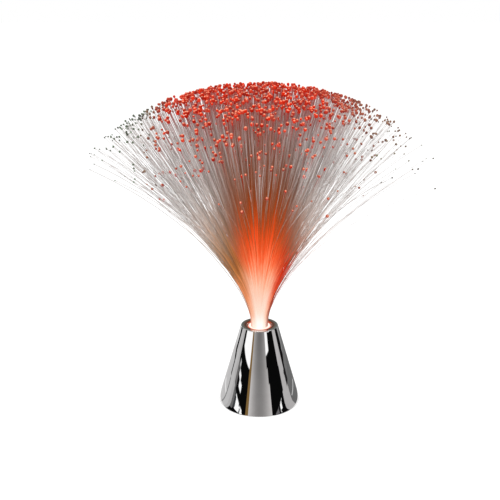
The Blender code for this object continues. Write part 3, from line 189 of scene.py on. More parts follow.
class Nodes:
    """A short way to write a material's node tree."""

    def __init__(self, name):
        self.material = bpy.data.materials.new(name)
        self.material.use_nodes = True
        self.tree = self.material.node_tree
        self.tree.nodes.clear()
        self.output = self.tree.nodes.new("ShaderNodeOutputMaterial")

    def add(self, kind, inputs=None, **settings):
        node = self.tree.nodes.new("ShaderNode" + kind)
        for key, value in settings.items():
            setattr(node, key, value)
        for key, value in (inputs or {}).items():
            self.put(node.inputs[key], value)
        return node

    def put(self, socket, value):
        if isinstance(value, bpy.types.NodeSocket):
            self.tree.links.new(value, socket)
        elif isinstance(value, tuple) and len(value) == 3 and socket.type == "RGBA":
            socket.default_value = (*value, 1)
        else:
            socket.default_value = value

    def math(self, operation, *values, clamp=False):
        node = self.add("Math", operation=operation, use_clamp=clamp)
        for index, value in enumerate(values):
            self.put(node.inputs[index], value)
        return node.outputs[0]

    def mix(self, factor, first, second):
        node = self.add("Mix", data_type="RGBA", clamp_factor=True)
        for index, value in ((0, factor), (6, first), (7, second)):
            self.put(node.inputs[index], value)
        return node.outputs[2]

    def remap(self, value, low, high, to_low=0.0, to_high=1.0, kind="SMOOTHSTEP"):
        node = self.add("MapRange", interpolation_type=kind)
        for index, item in enumerate((value, low, high, to_low, to_high)):
            self.put(node.inputs[index], item)
        return node.outputs[0]

    def ramp(self, value, stops):
        node = self.add("ValToRGB")
        ramp = node.color_ramp
        while len(ramp.elements) < len(stops):
            ramp.elements.new(0.5)
        for element, (place, colour) in zip(ramp.elements, stops):
            element.position = place
            element.color = (*colour, 1)
        self.put(node.inputs[0], value)
        return node.outputs[0]

    def place(self):
        return self.add("TexCoord").outputs["Object"]

    def attribute(self, name):
        return self.add("Attribute", attribute_name=name).outputs["Fac"]

    def length(self, vector):
        return self.add("VectorMath", {0: vector}, operation="LENGTH").outputs["Value"]

    def scaled(self, vector, factor):
        return self.add("VectorMath", {0: vector, "Scale": factor}, operation="SCALE").outputs[0]

    def off_axis(self):
        """The distance from the lamp's axis."""
        flat = self.add("VectorMath", {0: self.place(), 1: (1, 1, 0)}, operation="MULTIPLY").outputs[0]
        return self.length(flat)

    def noise(self, size, detail=3.0, roughness=0.5, stretch=(1, 1, 1)):
        """Noise whose features are about size metres wide."""
        scale = tuple(s / size for s in stretch)
        scaled = self.add("Mapping", {"Vector": self.place(), "Scale": scale}).outputs[0]
        inputs = {"Vector": scaled, "Scale": 1.0, "Detail": detail, "Roughness": roughness}
        return self.add("TexNoise", inputs).outputs["Fac"]

    def bump(self, height, strength, distance):
        return self.add("Bump", {"Height": height, "Strength": strength, "Distance": distance}).outputs[0]

    def finish(self, **inputs):
        """A principled surface, whose inputs are named in lower case with underscores."""
        named = {}
        for key, value in inputs.items():
            named[key.replace("_", " ").title().replace("Ior", "IOR")] = value
        shader = self.add("BsdfPrincipled", named)
        self.tree.links.new(shader.outputs[0], self.output.inputs["Surface"])
        return self.material


def grained(name, first, second, grain, rough, bump, more):
    """A surface of two close tones with a fine grain, given in mm, faint smears and an uneven gloss."""
    n = Nodes(name)
    fine = n.noise(grain * MM, 4)
    broad = n.noise(grain * MM * SMEAR_SIZE, 3, 0.6)
    colour = n.mix(n.remap(broad, 0.3, 0.7), linear(*first), linear(*second))
    gloss = n.math("ADD", n.remap(fine, 0.25, 0.75, *rough), n.remap(broad, 0.35, 0.75, -0.04, 0.05))
    normal = n.bump(fine, bump, BUMP_DEPTH)
    return n.finish(base_color=colour, roughness=gloss, normal=normal, **more)


# Meshes

SIDE_REFERENCE = (0.31, 0.95, 0.0)  # no fibre runs along it


def rounded(corners, steps):
    """The points of a closed outline with corners (x, y, fillet radius)."""
    points = []
    for index, (x, y, radius) in enumerate(corners):
        corner = Vector((x, y))
        if radius == 0:
            points.append(corner)
            continue
        back = (Vector(corners[index - 1][:2]) - corner).normalized()
        ahead = (Vector(corners[(index + 1) % len(corners)][:2]) - corner).normalized()
        half = back.angle(ahead) / 2
        centre = corner + (back + ahead).normalized() * radius / math.sin(half)
        first = corner + back * radius / math.tan(half) - centre
        last = corner + ahead * radius / math.tan(half) - centre
        sweep = first.angle(last)
        for step in range(steps + 1):
            along = sweep * step / steps
            spoke = first * math.sin(sweep - along) + last * math.sin(along)
            points.append(centre + spoke / math.sin(sweep))
    return points


def turned(name, outline, segments):
    """A mesh turned about Z from an outline of (radius, height), with a flat end where it meets the axis."""
    bm = bmesh.new()
    on_axis = any(radius == 0 for radius, height in outline)
    points = [bm.verts.new((radius, 0, height)) for radius, height in outline if radius > 0]
    ring = list(zip(points, points[1:]))
    if not on_axis:
        ring.append((points[-1], points[0]))
    edges = [bm.edges.new(pair) for pair in ring]
    bmesh.ops.spin(
        bm,
        geom=points + edges,
        cent=(0, 0, 0),
        axis=(0, 0, 1),
        angle=2 * math.pi,
        steps=segments,
        use_merge=True,
    )
    bmesh.ops.remove_doubles(bm, verts=bm.verts, dist=1e-7)
    if on_axis:
        bmesh.ops.holes_fill(bm, edges=[edge for edge in bm.edges if edge.is_boundary])
    bmesh.ops.recalc_face_normals(bm, faces=bm.faces)
    mesh = bpy.data.meshes.new(name)
    bm.to_mesh(mesh)
    bm.free()
    mesh.shade_smooth()
    mesh.set_sharp_from_angle(angle=math.radians(35))
    return mesh


def made(name, mesh, material, body=None, replaces=()):
    """An object with one material, riding on a body and standing for nodes of the frame."""
    piece = bpy.data.objects.new(name, mesh)
    bpy.context.scene.collection.objects.link(piece)
    mesh.materials.clear()
    mesh.materials.append(material)
    if body:
        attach(piece, body)
    if replaces:
        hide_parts(*replaces)
    return piece


def tubes(name, paths, radii, values):
    """Closed thin tubes along paths of shape (count, stations, 3), with named values by tube or station."""
    count, stations = paths.shape[:2]
    along = np.gradient(paths, axis=1)
    along /= np.linalg.norm(along, axis=2, keepdims=True)
    side = np.cross(along, SIDE_REFERENCE)
    side /= np.linalg.norm(side, axis=2, keepdims=True)
    across = np.cross(along, side)
    turn = 2 * np.pi * np.arange(FIBRE_SIDES) / FIBRE_SIDES
    ring = side[:, :, None] * np.cos(turn)[:, None] + across[:, :, None] * np.sin(turn)[:, None]
    points = (paths[:, :, None] + ring * radii[:, None, None, None]).reshape(-1, 3)
    index = np.arange(count * stations * FIBRE_SIDES).reshape(count, stations, FIBRE_SIDES)
    after = np.roll(index, -1, axis=2)
    quads = np.stack([index[:, :-1], after[:, :-1], after[:, 1:], index[:, 1:]], axis=-1).reshape(-1, 4)
    ends = np.concatenate([index[:, 0, ::-1], index[:, -1]])
    spread = {
        key: np.repeat(value.reshape(-1), FIBRE_SIDES if value.ndim == 2 else stations * FIBRE_SIDES)
        for key, value in values.items()
    }
    return solid(name, points, [quads, ends], spread)


def beads(name, centres, directions, sizes, values):
    """Closed round beads at centres, drawn out a little along directions."""
    count = len(centres)
    polar = np.pi * (np.arange(BEAD_RINGS) + 0.5) / BEAD_RINGS
    turn = 2 * np.pi * np.arange(BEAD_SEGMENTS) / BEAD_SEGMENTS
    flat = np.sin(polar)[:, None]
    high = BEAD_LENGTH * np.cos(polar)[:, None] * np.ones(BEAD_SEGMENTS)
    shape = np.stack([flat * np.cos(turn), flat * np.sin(turn), high], axis=-1).reshape(-1, 3)
    side = np.cross(directions, SIDE_REFERENCE)
    side /= np.linalg.norm(side, axis=1, keepdims=True)
    axes = np.stack([side, np.cross(directions, side), directions], axis=1)
    points = centres[:, None] + np.einsum("pk,nkx->npx", shape, axes) * sizes[:, None, None]
    index = np.arange(count * len(shape)).reshape(count, BEAD_RINGS, BEAD_SEGMENTS)
    after = np.roll(index, -1, axis=2)
    quads = np.stack([index[:, :-1], index[:, 1:], after[:, 1:], after[:, :-1]], axis=-1).reshape(-1, 4)
    ends = np.concatenate([index[:, 0], index[:, -1, ::-1]])
    spread = {key: np.repeat(value, len(shape)) for key, value in values.items()}
    spread["end"] = np.tile(shape[:, 2], count)
    return solid(name, points.reshape(-1, 3), [quads, ends], spread)


def solid(name, points, polygons, values):
    """A smooth mesh from points and arrays of equal-sided polygons, with named values at its points."""
    mesh = bpy.data.meshes.new(name)
    loops = np.concatenate([p.reshape(-1) for p in polygons])
    totals = np.concatenate([np.full(len(p), p.shape[1]) for p in polygons])
    mesh.vertices.add(len(points))
    mesh.vertices.foreach_set("co", points.astype(np.float32).reshape(-1))
    mesh.loops.add(len(loops))
    mesh.loops.foreach_set("vertex_index", loops.astype(np.int32))
    mesh.polygons.add(len(totals))
    mesh.polygons.foreach_set("loop_start", np.concatenate([[0], np.cumsum(totals)[:-1]]).astype(np.int32))
    mesh.update(calc_edges=True)
    for key, value in values.items():
        mesh.attributes.new(key, "FLOAT", "POINT").data.foreach_set("value", value.astype(np.float32))
    mesh.validate()
    mesh.shade_smooth()
    return mesh


# Materials of the lit head

ACRYLIC_IOR = 1.49
TIP_STRETCH = (0.875, 0.965)  # of a fibre's length, where the light of the tips comes in

# Distances from the mouth between which things change
FOOT_FADE = (4 * MM, 18 * MM)  # the extra glow at the mouth ends
GLOW_FADE = (75 * MM, 180 * MM)  # the glow ends
# The glow's colour is also painted into the fibres' surface colour, growing paler over the next stretch
PAINTED_GLOW_STRETCH = (45 * MM, 160 * MM)  # the colour that the light leaves on the fibres grows paler
UNLIT_STRETCH = (118 * MM, 188 * MM)  # and gives way to that of clear fibres

# The light by its place: the stops of colour ramps, as (mm from the mouth, colour)
RAMP_LENGTH = 200
MIDDLE_STOPS = (
    (0, (255, 254, 251)), (9, (255, 248, 240)), (18, (253, 228, 210)), (34, (253, 212, 190)),
    (50, (252, 190, 158)), (66, (250, 134, 88)), (82, (236, 84, 36)), (100, (194, 76, 26)),
    (118, (158, 76, 34)), (140, (150, 92, 60)), (200, (146, 112, 94)),
)
LEFT_STOPS = (
    (0, (255, 252, 248)), (8, (255, 234, 220)), (16, (252, 190, 158)), (34, (244, 152, 102)),
    (50, (210, 126, 74)), (66, (150, 98, 52)), (78, (146, 92, 48)), (100, (144, 112, 86)),
    (128, (142, 122, 108)), (200, (134, 122, 114)),
)
RIGHT_STOPS = (
    (0, (255, 250, 246)), (7, (255, 238, 226)), (15, (253, 196, 166)), (30, (250, 132, 90)),
    (45, (242, 86, 40)), (58, (226, 46, 8)), (76, (178, 40, 4)), (100, (142, 92, 66)),
    (128, (144, 124, 112)), (200, (136, 124, 116)),
)
# The painted shade of the neck's outlines, at its right and at its left
RIGHT_PAINTED_SHADE_STOPS = (
    (0, (200, 140, 120)), (10, (170, 110, 94)), (28, (158, 66, 50)), (44, (146, 36, 16)),
    (58, (134, 84, 70)), (72, (128, 118, 112)),
)
LEFT_PAINTED_SHADE_STOPS = (
    (0, (236, 196, 176)), (15, (214, 142, 114)), (26, (160, 104, 76)), (38, (126, 96, 74)),
    (50, (142, 120, 100)), (66, (130, 122, 112)),
)


def along(n, distance, stops):
    """The colour of a ramp at a distance from the mouth."""
    factor = n.math("DIVIDE", distance, RAMP_LENGTH * MM)
    return n.ramp(factor, [(place / RAMP_LENGTH, linear(*shade)) for place, shade in stops])


def lit_colour(n, reach, distance, side, off_side, tone):
    """The light in the fibres: a flame, brown at its left and red at its right, with a dark red band and thin
    dark outlines of painted shade along the neck's sides.
    """
    tint = n.mix(n.remap(side, -0.47, -0.13), along(n, reach, LEFT_STOPS), along(n, reach, MIDDLE_STOPS))
    tint = n.mix(n.remap(side, 0.2, 0.5), tint, along(n, reach, RIGHT_STOPS))
    # Painted shade: a dark red band at the neck's right, and dark outlines at both its sides
    painted_band_shade = n.math("MULTIPLY", n.remap(reach, 0, 5 * MM), n.remap(reach, 40 * MM, 75 * MM, 0.85, 0.0))
    tint = n.mix(n.math("MULTIPLY", n.attribute("edge"), painted_band_shade), tint, linear(146, 30, 12))
    rim = n.attribute("rim")
    fading = n.remap(distance, 80 * MM, 130 * MM, 0.9, 0.3)
    at_right = n.math("MULTIPLY", rim, fading, clamp=True)
    tint = n.mix(at_right, tint, along(n, distance, RIGHT_PAINTED_SHADE_STOPS))
    at_left = n.math("MULTIPLY", rim, n.math("MULTIPLY", fading, -1.0), clamp=True)
    tint = n.mix(at_left, tint, along(n, distance, LEFT_PAINTED_SHADE_STOPS))
    aside = n.math("MULTIPLY", n.remap(off_side, 0.25, 0.6), n.remap(reach, 25 * MM, 70 * MM))
    uneven = n.math("MULTIPLY", aside, n.remap(tone, 0, 1, -0.4, 0.85, "LINEAR"))
    return n.scaled(tint, n.math("ADD", 1.0, uneven))


def unlit_colour(n, side, off_side, tone, streak):
    """Clear fibres away from the light: pale and dark by their tone, and brown near the middle, where the
    lamp's warm glow is painted in.
    """
    bright = n.math("ADD", tone, n.remap(off_side, 0.15, 0.5, 0.02, 0.16))
    bright = n.math("ADD", bright, n.remap(side, 0.2, 0.6, 0.0, 0.12), clamp=True)
    shadow = n.mix(n.remap(off_side, 0.12, 0.4), linear(106, 88, 76), linear(124, 117, 111))
    pale = n.mix(bright, shadow, linear(255, 254, 253))
    pale = n.mix(n.remap(streak, 0.35, 0.75), pale, linear(204, 196, 192))
    off_brown = n.math("ABSOLUTE", n.math("ADD", side, 0.07))
    # Painted warm glow: the darker fibres near the middle are tinted brown
    painted_warm_glow = n.math("MULTIPLY", n.remap(off_brown, 0.06, 0.4, 0.8, 0.0), n.math("SUBTRACT", 1.0, tone))
    return n.mix(painted_warm_glow, pale, linear(190, 106, 64))


def fibre_material():
    """Clear acrylic: white-hot at the mouth, then orange and brown, and pale and streaky further out."""
    n = Nodes("clear_fibre")
    offset = n.add("VectorMath", {0: n.place(), 1: (0, 0, -MOUTH_HEIGHT)}, operation="ADD").outputs[0]
    distance = n.length(offset)
    x = n.add("SeparateXYZ", {0: offset}).outputs[0]
    side = n.math("DIVIDE", x, n.math("ADD", n.math("MULTIPLY", distance, 0.6), 5 * MM))
    off_side = n.math("ABSOLUTE", side)
    tone = n.attribute("tone")
    streak = n.noise(9 * MM, 2, stretch=(1, 1, 0.12))

    # How far out a point is as the light sees it: further in a dark fibre, and less far in the middle
    own = n.remap(tone, 0, 1, 9 * MM, -9 * MM, "LINEAR")
    patch = n.remap(streak, 0.3, 0.7, -5 * MM, 5 * MM)
    wander = n.math("MULTIPLY", n.math("ADD", own, patch), n.remap(distance, 0, 60 * MM))
    reach = n.math("MULTIPLY", n.math("ADD", distance, wander), n.remap(off_side, 0.1, 0.75, 0.8, 1.0))

    tint = lit_colour(n, reach, distance, side, off_side, tone)
    pale = unlit_colour(n, side, off_side, tone, streak)
    # Painted light: the glow's colour also goes into the surface colour, so the clear fibres look tinted by
    # it
    painted_glow_colour = n.scaled(tint, n.remap(reach, *PAINTED_GLOW_STRETCH, 0.16, 0.75))
    unlit = n.remap(n.math("ADD", reach, n.remap(off_side, 0.15, 0.7, 0, 38 * MM)), *UNLIT_STRETCH)
    base = n.mix(unlit, painted_glow_colour, pale)
    body = n.remap(reach, *GLOW_FADE, 0.84, 0.0)
    foot = n.remap(distance, *FOOT_FADE, 0.16, 0.0)

    # The light that leaves the tips reddens the last stretch of the fibres round them
    last = n.remap(n.attribute("tip"), *TIP_STRETCH)
    red = n.math("MULTIPLY", last, n.math("POWER", n.attribute("lit"), 1.6))
    return n.finish(
        base_color=n.mix(n.math("MULTIPLY", red, 0.96), base, linear(112, 12, 5)),
        roughness=n.remap(streak, 0.3, 0.7, 0.18, 0.32),
        ior=ACRYLIC_IOR,
        specular_ior_level=0.1,
        emission_color=n.mix(red, tint, linear(200, 30, 12)),
        emission_strength=n.math("ADD", n.math("ADD", body, foot), n.math("MULTIPLY", red, 0.3)),
    )


def bead_material():
    """A melted tip: when lit, deep red with its glow painted into its surface colour, and a bright end where
    the light leaves it, with a painted highlight there; grey-green when unlit.
    """
    n = Nodes("lit_tip")
    tone = n.attribute("tone")
    lit = n.attribute("lit")
    end = n.attribute("end")
    speck = n.noise(0.8 * MM, 2)
    # When lit, the tip's surface colour is red: its glow painted in
    red = n.mix(tone, linear(104, 8, 4), linear(150, 18, 9))
    dull = n.mix(tone, linear(84, 84, 76), linear(124, 140, 118))
    # The bright end: light leaving the tip, and a painted highlight where it lightens the surface colour
    end_glow_painted_highlight = n.remap(n.math("ADD", end, n.remap(speck, 0.3, 0.7, -0.1, 0.1)), 0.68, 1.02)
    hot = n.mix(end_glow_painted_highlight, n.mix(tone, linear(212, 28, 2), linear(251, 52, 8)), linear(255, 172, 134))
    strength = n.math("ADD", n.remap(tone, 0, 1, 0.42, 0.62, "LINEAR"), n.math("MULTIPLY", end_glow_painted_highlight, 0.36))
    return n.finish(
        base_color=n.mix(lit, dull, n.mix(n.math("MULTIPLY", end_glow_painted_highlight, 0.5), red, linear(236, 130, 104))),
        roughness=n.remap(speck, 0.3, 0.7, 0.08, 0.2),
        ior=ACRYLIC_IOR,
        specular_ior_level=0.03,
        emission_color=hot,
        emission_strength=n.math("MULTIPLY", lit, strength),
    )


def collar_material():
    """Frosted plastic lit from inside: white by the fibres, orange at its rim."""
    n = Nodes("lit_collar")
    radius = n.off_axis()
    frost = n.noise(0.4 * MM, 3)
    rim = n.remap(radius, COLLAR_RADIUS - 1.4 * MM, COLLAR_RADIUS, kind="LINEAR")
    return n.finish(
        base_color=n.mix(rim, linear(170, 158, 150), linear(170, 70, 44)),
        roughness=n.remap(frost, 0.3, 0.7, 0.3, 0.45),
        emission_color=n.mix(rim, linear(255, 248, 240), linear(226, 100, 62)),
        emission_strength=n.remap(radius, COLLAR_RADIUS - 1.2 * MM, COLLAR_RADIUS, 0.92, 0.7),
        normal=n.bump(frost, 0.2, BUMP_DEPTH),
    )


def chrome_material():
    """Vacuum-coated plastic: a mirror, faintly wavy with a few hairlines, with a warm painted reflection of
    the lit collar round the hole.
    """
    n = Nodes("mirror_chrome")
    wave = n.noise(26 * MM, 2, 0.4)
    haze = n.noise(12 * MM, 4, 0.65)
    hair = n.noise(1.6 * MM, 5, 0.7, stretch=(1, 1, 0.06))
    tint = n.mix(n.remap(haze, 0.3, 0.7), (CHROME_SHARE, CHROME_SHARE, CHROME_SHARE), linear(218, 217, 217))
    height = n.add("SeparateXYZ", {0: n.place()}).outputs[2]
    # Painted reflection: the top round the hole is tinted warm where the lit collar would show in it
    painted_collar_reflection = n.remap(n.off_axis(), HOLE_RADIUS + 0.6 * MM, HOLE_RADIUS + 5 * MM, 0.95, 0.0)
    on_top = n.remap(height, SHELL_HEIGHT - 1 * MM, SHELL_HEIGHT - 0.3 * MM)
    tint = n.mix(n.math("MULTIPLY", painted_collar_reflection, on_top), tint, linear(190, 98, 60))
    gloss = n.math("ADD", n.remap(haze, 0.4, 0.8, 0.012, 0.03), n.remap(hair, 0.66, 0.8, 0.0, 0.04))
    return n.finish(base_color=tint, metallic=1.0, roughness=gloss, normal=n.bump(wave, 0.1, 0.1 * MM))


# The head


def ramped(values, low, high):
    """0 up to low and 1 from high, with a straight rise between them."""
    return np.clip((values - low) / (high - low), 0, 1)


def lean_angles(share):
    """How far from upright the tips are seen from the mouth: even over the dome between the stops."""
    return np.sqrt(np.interp(share, LEAN_SHARES, np.radians(LEAN_DEGREES) ** 2))


def drawn_together(seen, azimuth, rng):
    """Tip directions drawn towards the middles of loose locks, and the number of each fibre's lock."""
    lock_share = (np.arange(LOCK_COUNT) + 0.5) / LOCK_COUNT
    lock_seen = lean_angles(lock_share) * (1 + rng.normal(0, LOCK_LEAN_SCATTER, LOCK_COUNT))
    lock_turn = np.arange(LOCK_COUNT) * GOLDEN_ANGLE + rng.normal(0, LOCK_TURN_SCATTER, LOCK_COUNT)
    lock_at = np.stack([lock_seen * np.cos(lock_turn), lock_seen * np.sin(lock_turn)], axis=1)
    at = np.stack([seen * np.cos(azimuth), seen * np.sin(azimuth)], axis=1)
    nearest = np.argmin(np.linalg.norm(at[:, None] - lock_at[None], axis=2), axis=1)
    pull = (LOCK_PULL[0] + LOCK_PULL[1] * rng.random(len(seen)))[:, None]
    at = at * (1 - pull) + lock_at[nearest] * pull
    return np.linalg.norm(at, axis=1), np.arctan2(at[:, 1], at[:, 0]), nearest


def tip_directions(share, azimuth, outer, rng):
    """How each tip is seen from the mouth, as lean and azimuth, and the lock that its fibre belongs to."""
    seen = np.abs(lean_angles(share) + rng.normal(0, LEAN_SCATTER, FIBRE_COUNT) * (1 + outer))
    seen, azimuth, lock = drawn_together(seen, azimuth + rng.normal(0, TURN_SCATTER, FIBRE_COUNT), rng)
    at_right = (np.cos(azimuth) > THINNED_SIDE) & (share > LEAN_SHARES[1])
    seen = np.where(at_right & (rng.random(FIBRE_COUNT) < THINNED_CHANCE), THINNED_LEAN * seen, seen)
    at_left = (np.cos(azimuth) < FILLED_SIDE) & (share > FILLED_SHARES[0]) & (share < FILLED_SHARES[1])
    seen = np.where(at_left & (rng.random(FIBRE_COUNT) < FILLED_CHANCE), FILLED_LEAN * seen, seen)
    stray = rng.random(FIBRE_COUNT) < STRAY_CHANCE * outer
    seen = np.where(stray, seen + np.radians(rng.uniform(*STRAY_DEGREES, FIBRE_COUNT)), seen)
    return seen, azimuth, lock


def station_shares():
    """Places of a fibre's rings along it: closest together at the neck, with one more just before the tip."""
    shares = np.linspace(0, 1, PATH_STATIONS - 1) ** 1.6
    return np.append(shares[:-1], [0.93, 1.0])


def bent(length, lean, neck, droop):
    """How far out and up the fibres' stations are: they turn by lean over their necks, and then droop."""
    step = length / PATH_STEPS
    run = (np.arange(PATH_STEPS) + 0.5)[None] * step[:, None]
    angle = lean[:, None] * (1 - np.exp(-run / neck[:, None]))
    angle += droop[:, None] * (run / length[:, None]) ** 2
    zero = np.zeros((FIBRE_COUNT, 1))
    out = np.concatenate([zero, np.cumsum(np.sin(angle), axis=1)], axis=1) * step[:, None]
    up = np.concatenate([zero, np.cumsum(np.cos(angle), axis=1)], axis=1) * step[:, None]
    pick = np.round(station_shares() * PATH_STEPS).astype(int)
    return out[:, pick], up[:, pick]


def fibre_paths(rng):
    """Paths of all fibres from the mouth to their tips, and the locks that they belong to."""
    index = np.arange(FIBRE_COUNT)
    share = (index + 0.5) / FIBRE_COUNT
    outer = ramped(share, FRINGE_SHARE, RIM_SHARE)
    azimuth = index * GOLDEN_ANGLE
    seen, tip_azimuth, lock = tip_directions(share, azimuth, outer, rng)

    length = FIBRE_LENGTH * (1 - LENGTH_SCATTER * rng.random(FIBRE_COUNT) ** 2)
    short = rng.random(FIBRE_COUNT) < SHORT_CHANCE
    length = np.where(short, length * (1 - SHORTEST_CUT * rng.random(FIBRE_COUNT) ** 1.3), length)
    droop = DROOP_ANGLE * outer**2 * (0.4 + rng.random(FIBRE_COUNT))
    droop += rng.normal(0, DROOP_SCATTER, FIBRE_COUNT)
    held = outer * (index % HELD_CYCLE > 0)
    lean = SPREAD_FACTOR * seen * (1 + HELD_LEAN * held)
    out, up = bent(length, lean, NECK_LENGTH * (1 + HELD_NECK * held), droop)

    shares = station_shares()[None]
    phase = shares * rng.uniform(4, 9, (FIBRE_COUNT, 1)) + rng.uniform(0, 6, (FIBRE_COUNT, 1))
    turn = tip_azimuth[:, None] + PATH_WAVE * np.sin(phase) * shares
    root = np.sqrt(share) * (BUNDLE_RADIUS - ROOT_MARGIN)
    x = (root * np.cos(azimuth))[:, None] + out * np.cos(turn)
    y = (root * np.sin(azimuth))[:, None] + out * np.sin(turn)
    return np.stack([x, y, MOUTH_HEIGHT - FIBRE_SINK + up], axis=-1), lock


def painted_side_shade(share, tips):
    """Painted shade along the neck's sides: the dark red band at its right, and the dark outlines, over 0 at
    the right and under 0 at the left.
    """
    aside = tips[:, 0] / np.hypot(tips[:, 0], tips[:, 1])
    at_right = ramped(aside, *RIGHT_RIM_SIDES)
    at_left = ramped(-aside, *LEFT_RIM_SIDES)
    edge = ramped(share, *BAND_SHARES) * at_right
    rim = ramped(share, *RIGHT_RIM_SHARES) * at_right - ramped(share, *LEFT_RIM_SHARES) * at_left
    return edge, rim


def tip_zones(tips):
    """How far the tips lie to the left, low at the fringe and to the right, each from 0 to 1."""
    left = ramped(-tips[:, 0], *LEFT_ZONE)
    low = ramped(np.hypot(tips[:, 0], tips[:, 1]), *FRINGE_ZONE)
    right = ramped(tips[:, 0], *RIGHT_ZONE)
    return left, low, right


def make_fibres():
    rng = np.random.default_rng(SEED)
    paths, lock = fibre_paths(rng)
    own_tone = rng.beta(1.1, 1.1, FIBRE_COUNT)
    lock_tone = rng.beta(1.2, 1.2, LOCK_COUNT)
    tone = 0.6 * own_tone + 0.4 * lock_tone[lock]
    tone = np.clip(0.5 + 1.35 * (tone - 0.5), 0, 1)
    thickness = 0.5 * tone + 0.5 * rng.random(FIBRE_COUNT)
    radii = FIBRE_RADII[0] + (FIBRE_RADII[1] - FIBRE_RADII[0]) * thickness
    tips = paths[:, -1]
    ahead = tips - paths[:, -2]
    ahead /= np.linalg.norm(ahead, axis=1, keepdims=True)

    left, low, right = tip_zones(tips)
    lit = np.clip(1 - 1.1 * left - 0.35 * low - 0.6 * right, 0, 1)
    lit *= 0.7 + 0.3 * rng.random(FIBRE_COUNT)
    size = BEAD_RADIUS * (BEAD_SIZES[0] + BEAD_SIZES[1] * rng.random(FIBRE_COUNT))
    size *= (1 - 0.45 * low**2) * (1 - 0.3 * left - 0.2 * right)

    share = np.arange(FIBRE_COUNT) / FIBRE_COUNT
    edge, rim = painted_side_shade(share, tips)
    glint = (rng.random(FIBRE_COUNT) < GLINT_CHANCE) & (tips[:, 0] < GLINT_LIMIT)
    tone = np.where(glint, 1, tone)
    radii *= (1 - SLIM_OUTER * ramped(share, *SLIM_SHARES)) * (1 - SLIM_RIGHT * right)
    radii *= np.where(glint, GLINT_SIZE, 1)

    fibre = fibre_material()
    for number in range(FIBRE_GROUPS):
        own = np.arange(FIBRE_COUNT) % FIBRE_GROUPS == number
        name = f"fibres_{number + 1}"
        values = {"tone": tone[own], "lit": lit[own], "edge": edge[own], "rim": rim[own]}
        values["tip"] = np.tile(station_shares(), (own.sum(), 1))
        mesh = tubes(name, paths[own], radii[own], values)
        made(name, mesh, fibre, "head", ["fibre_spray"])
    make_tips(tips, ahead, size, lit, rng)
    make_bundle_face(fibre)


def make_tips(tips, ahead, size, lit, rng):
    material = bead_material()
    tone = rng.random(FIBRE_COUNT)
    for number in range(BEAD_GROUPS):
        own = np.arange(FIBRE_COUNT) % BEAD_GROUPS == number
        name = f"fibre_tips_{number + 1}"
        mesh = beads(name, tips[own], ahead[own], size[own], {"tone": tone[own], "lit": lit[own]})
        made(name, mesh, material, "head", ["fibre_spray"])


def make_bundle_face(material):
    face = rounded(
        [
            (0, FACE_BOTTOM, 0),
            (BUNDLE_RADIUS, FACE_BOTTOM, 0),
            (BUNDLE_RADIUS, MOUTH_HEIGHT, 0.4 * MM),
            (0, MOUTH_HEIGHT, 0),
        ],
        3,
    )
    mesh = turned("bundle_face", face, RING_SEGMENTS)
    made("bundle_face", mesh, material, "head", ["fibre_spray"])


def make_collar():
    outline = rounded(
        [
            (COLLAR_RADIUS, COLLAR_SEAT, 0.2 * MM),
            (COLLAR_RADIUS, COLLAR_SEAT + COLLAR_THICKNESS, 0.5 * MM),
            (COLLAR_MOUTH_RADIUS, COLLAR_SEAT + COLLAR_THICKNESS, 0.5 * MM),
            (COLLAR_MOUTH_RADIUS, COLLAR_SEAT, 0),
            (COLLAR_BORE_RADIUS, COLLAR_SEAT, 0),
            (COLLAR_BORE_RADIUS, COLLAR_BOTTOM, 0.2 * MM),
            (COLLAR_TUBE_RADIUS, COLLAR_BOTTOM, 0.3 * MM),
            (COLLAR_TUBE_RADIUS, COLLAR_SEAT, 0),
        ],
        4,
    )
    mesh = turned("collar", outline, RING_SEGMENTS)
    made("collar", mesh, collar_material(), "head", ["fibre_collar"])


# The base


def shell_radius(height):
    share = (height - RIM_LIFT) / (SHELL_HEIGHT - RIM_LIFT)
    return RIM_RADIUS + (TOP_RADIUS - RIM_RADIUS) * share


def inner_radius(height):
    lean = math.atan2(RIM_RADIUS - TOP_RADIUS, SHELL_HEIGHT - RIM_LIFT)
    return shell_radius(height) - WALL / math.cos(lean)


def make_shell():
    under = SHELL_HEIGHT - TOP_THICKNESS
    outline = rounded(
        [
            (shell_radius(RIM_LIFT), RIM_LIFT, 0.6 * MM),
            (shell_radius(RIM_LIFT + EDGE_RING), RIM_LIFT + EDGE_RING, 0),
            (shell_radius(RIM_LIFT + 2 * EDGE_RING), RIM_LIFT + 2 * EDGE_RING, 0),
            (shell_radius(SHELL_HEIGHT - 2 * EDGE_RING), SHELL_HEIGHT - 2 * EDGE_RING, 0),
            (shell_radius(SHELL_HEIGHT - EDGE_RING), SHELL_HEIGHT - EDGE_RING, 0),
            (shell_radius(SHELL_HEIGHT), SHELL_HEIGHT, 0.8 * MM),
            (TOP_RADIUS - EDGE_RING, SHELL_HEIGHT, 0),
            (HOLE_RADIUS + EDGE_RING, SHELL_HEIGHT, 0),
            (HOLE_RADIUS, SHELL_HEIGHT, 0.5 * MM),
            (HOLE_RADIUS, under, 0),
            (inner_radius(under), under, 0),
            (inner_radius(RIM_LIFT), RIM_LIFT, 0.2 * MM),
        ],
        6,
    )
    mesh = turned("cone", outline, SHELL_SEGMENTS)
    made("cone", mesh, chrome_material(), "base", ["base_shell"])


# The frame's own nodes

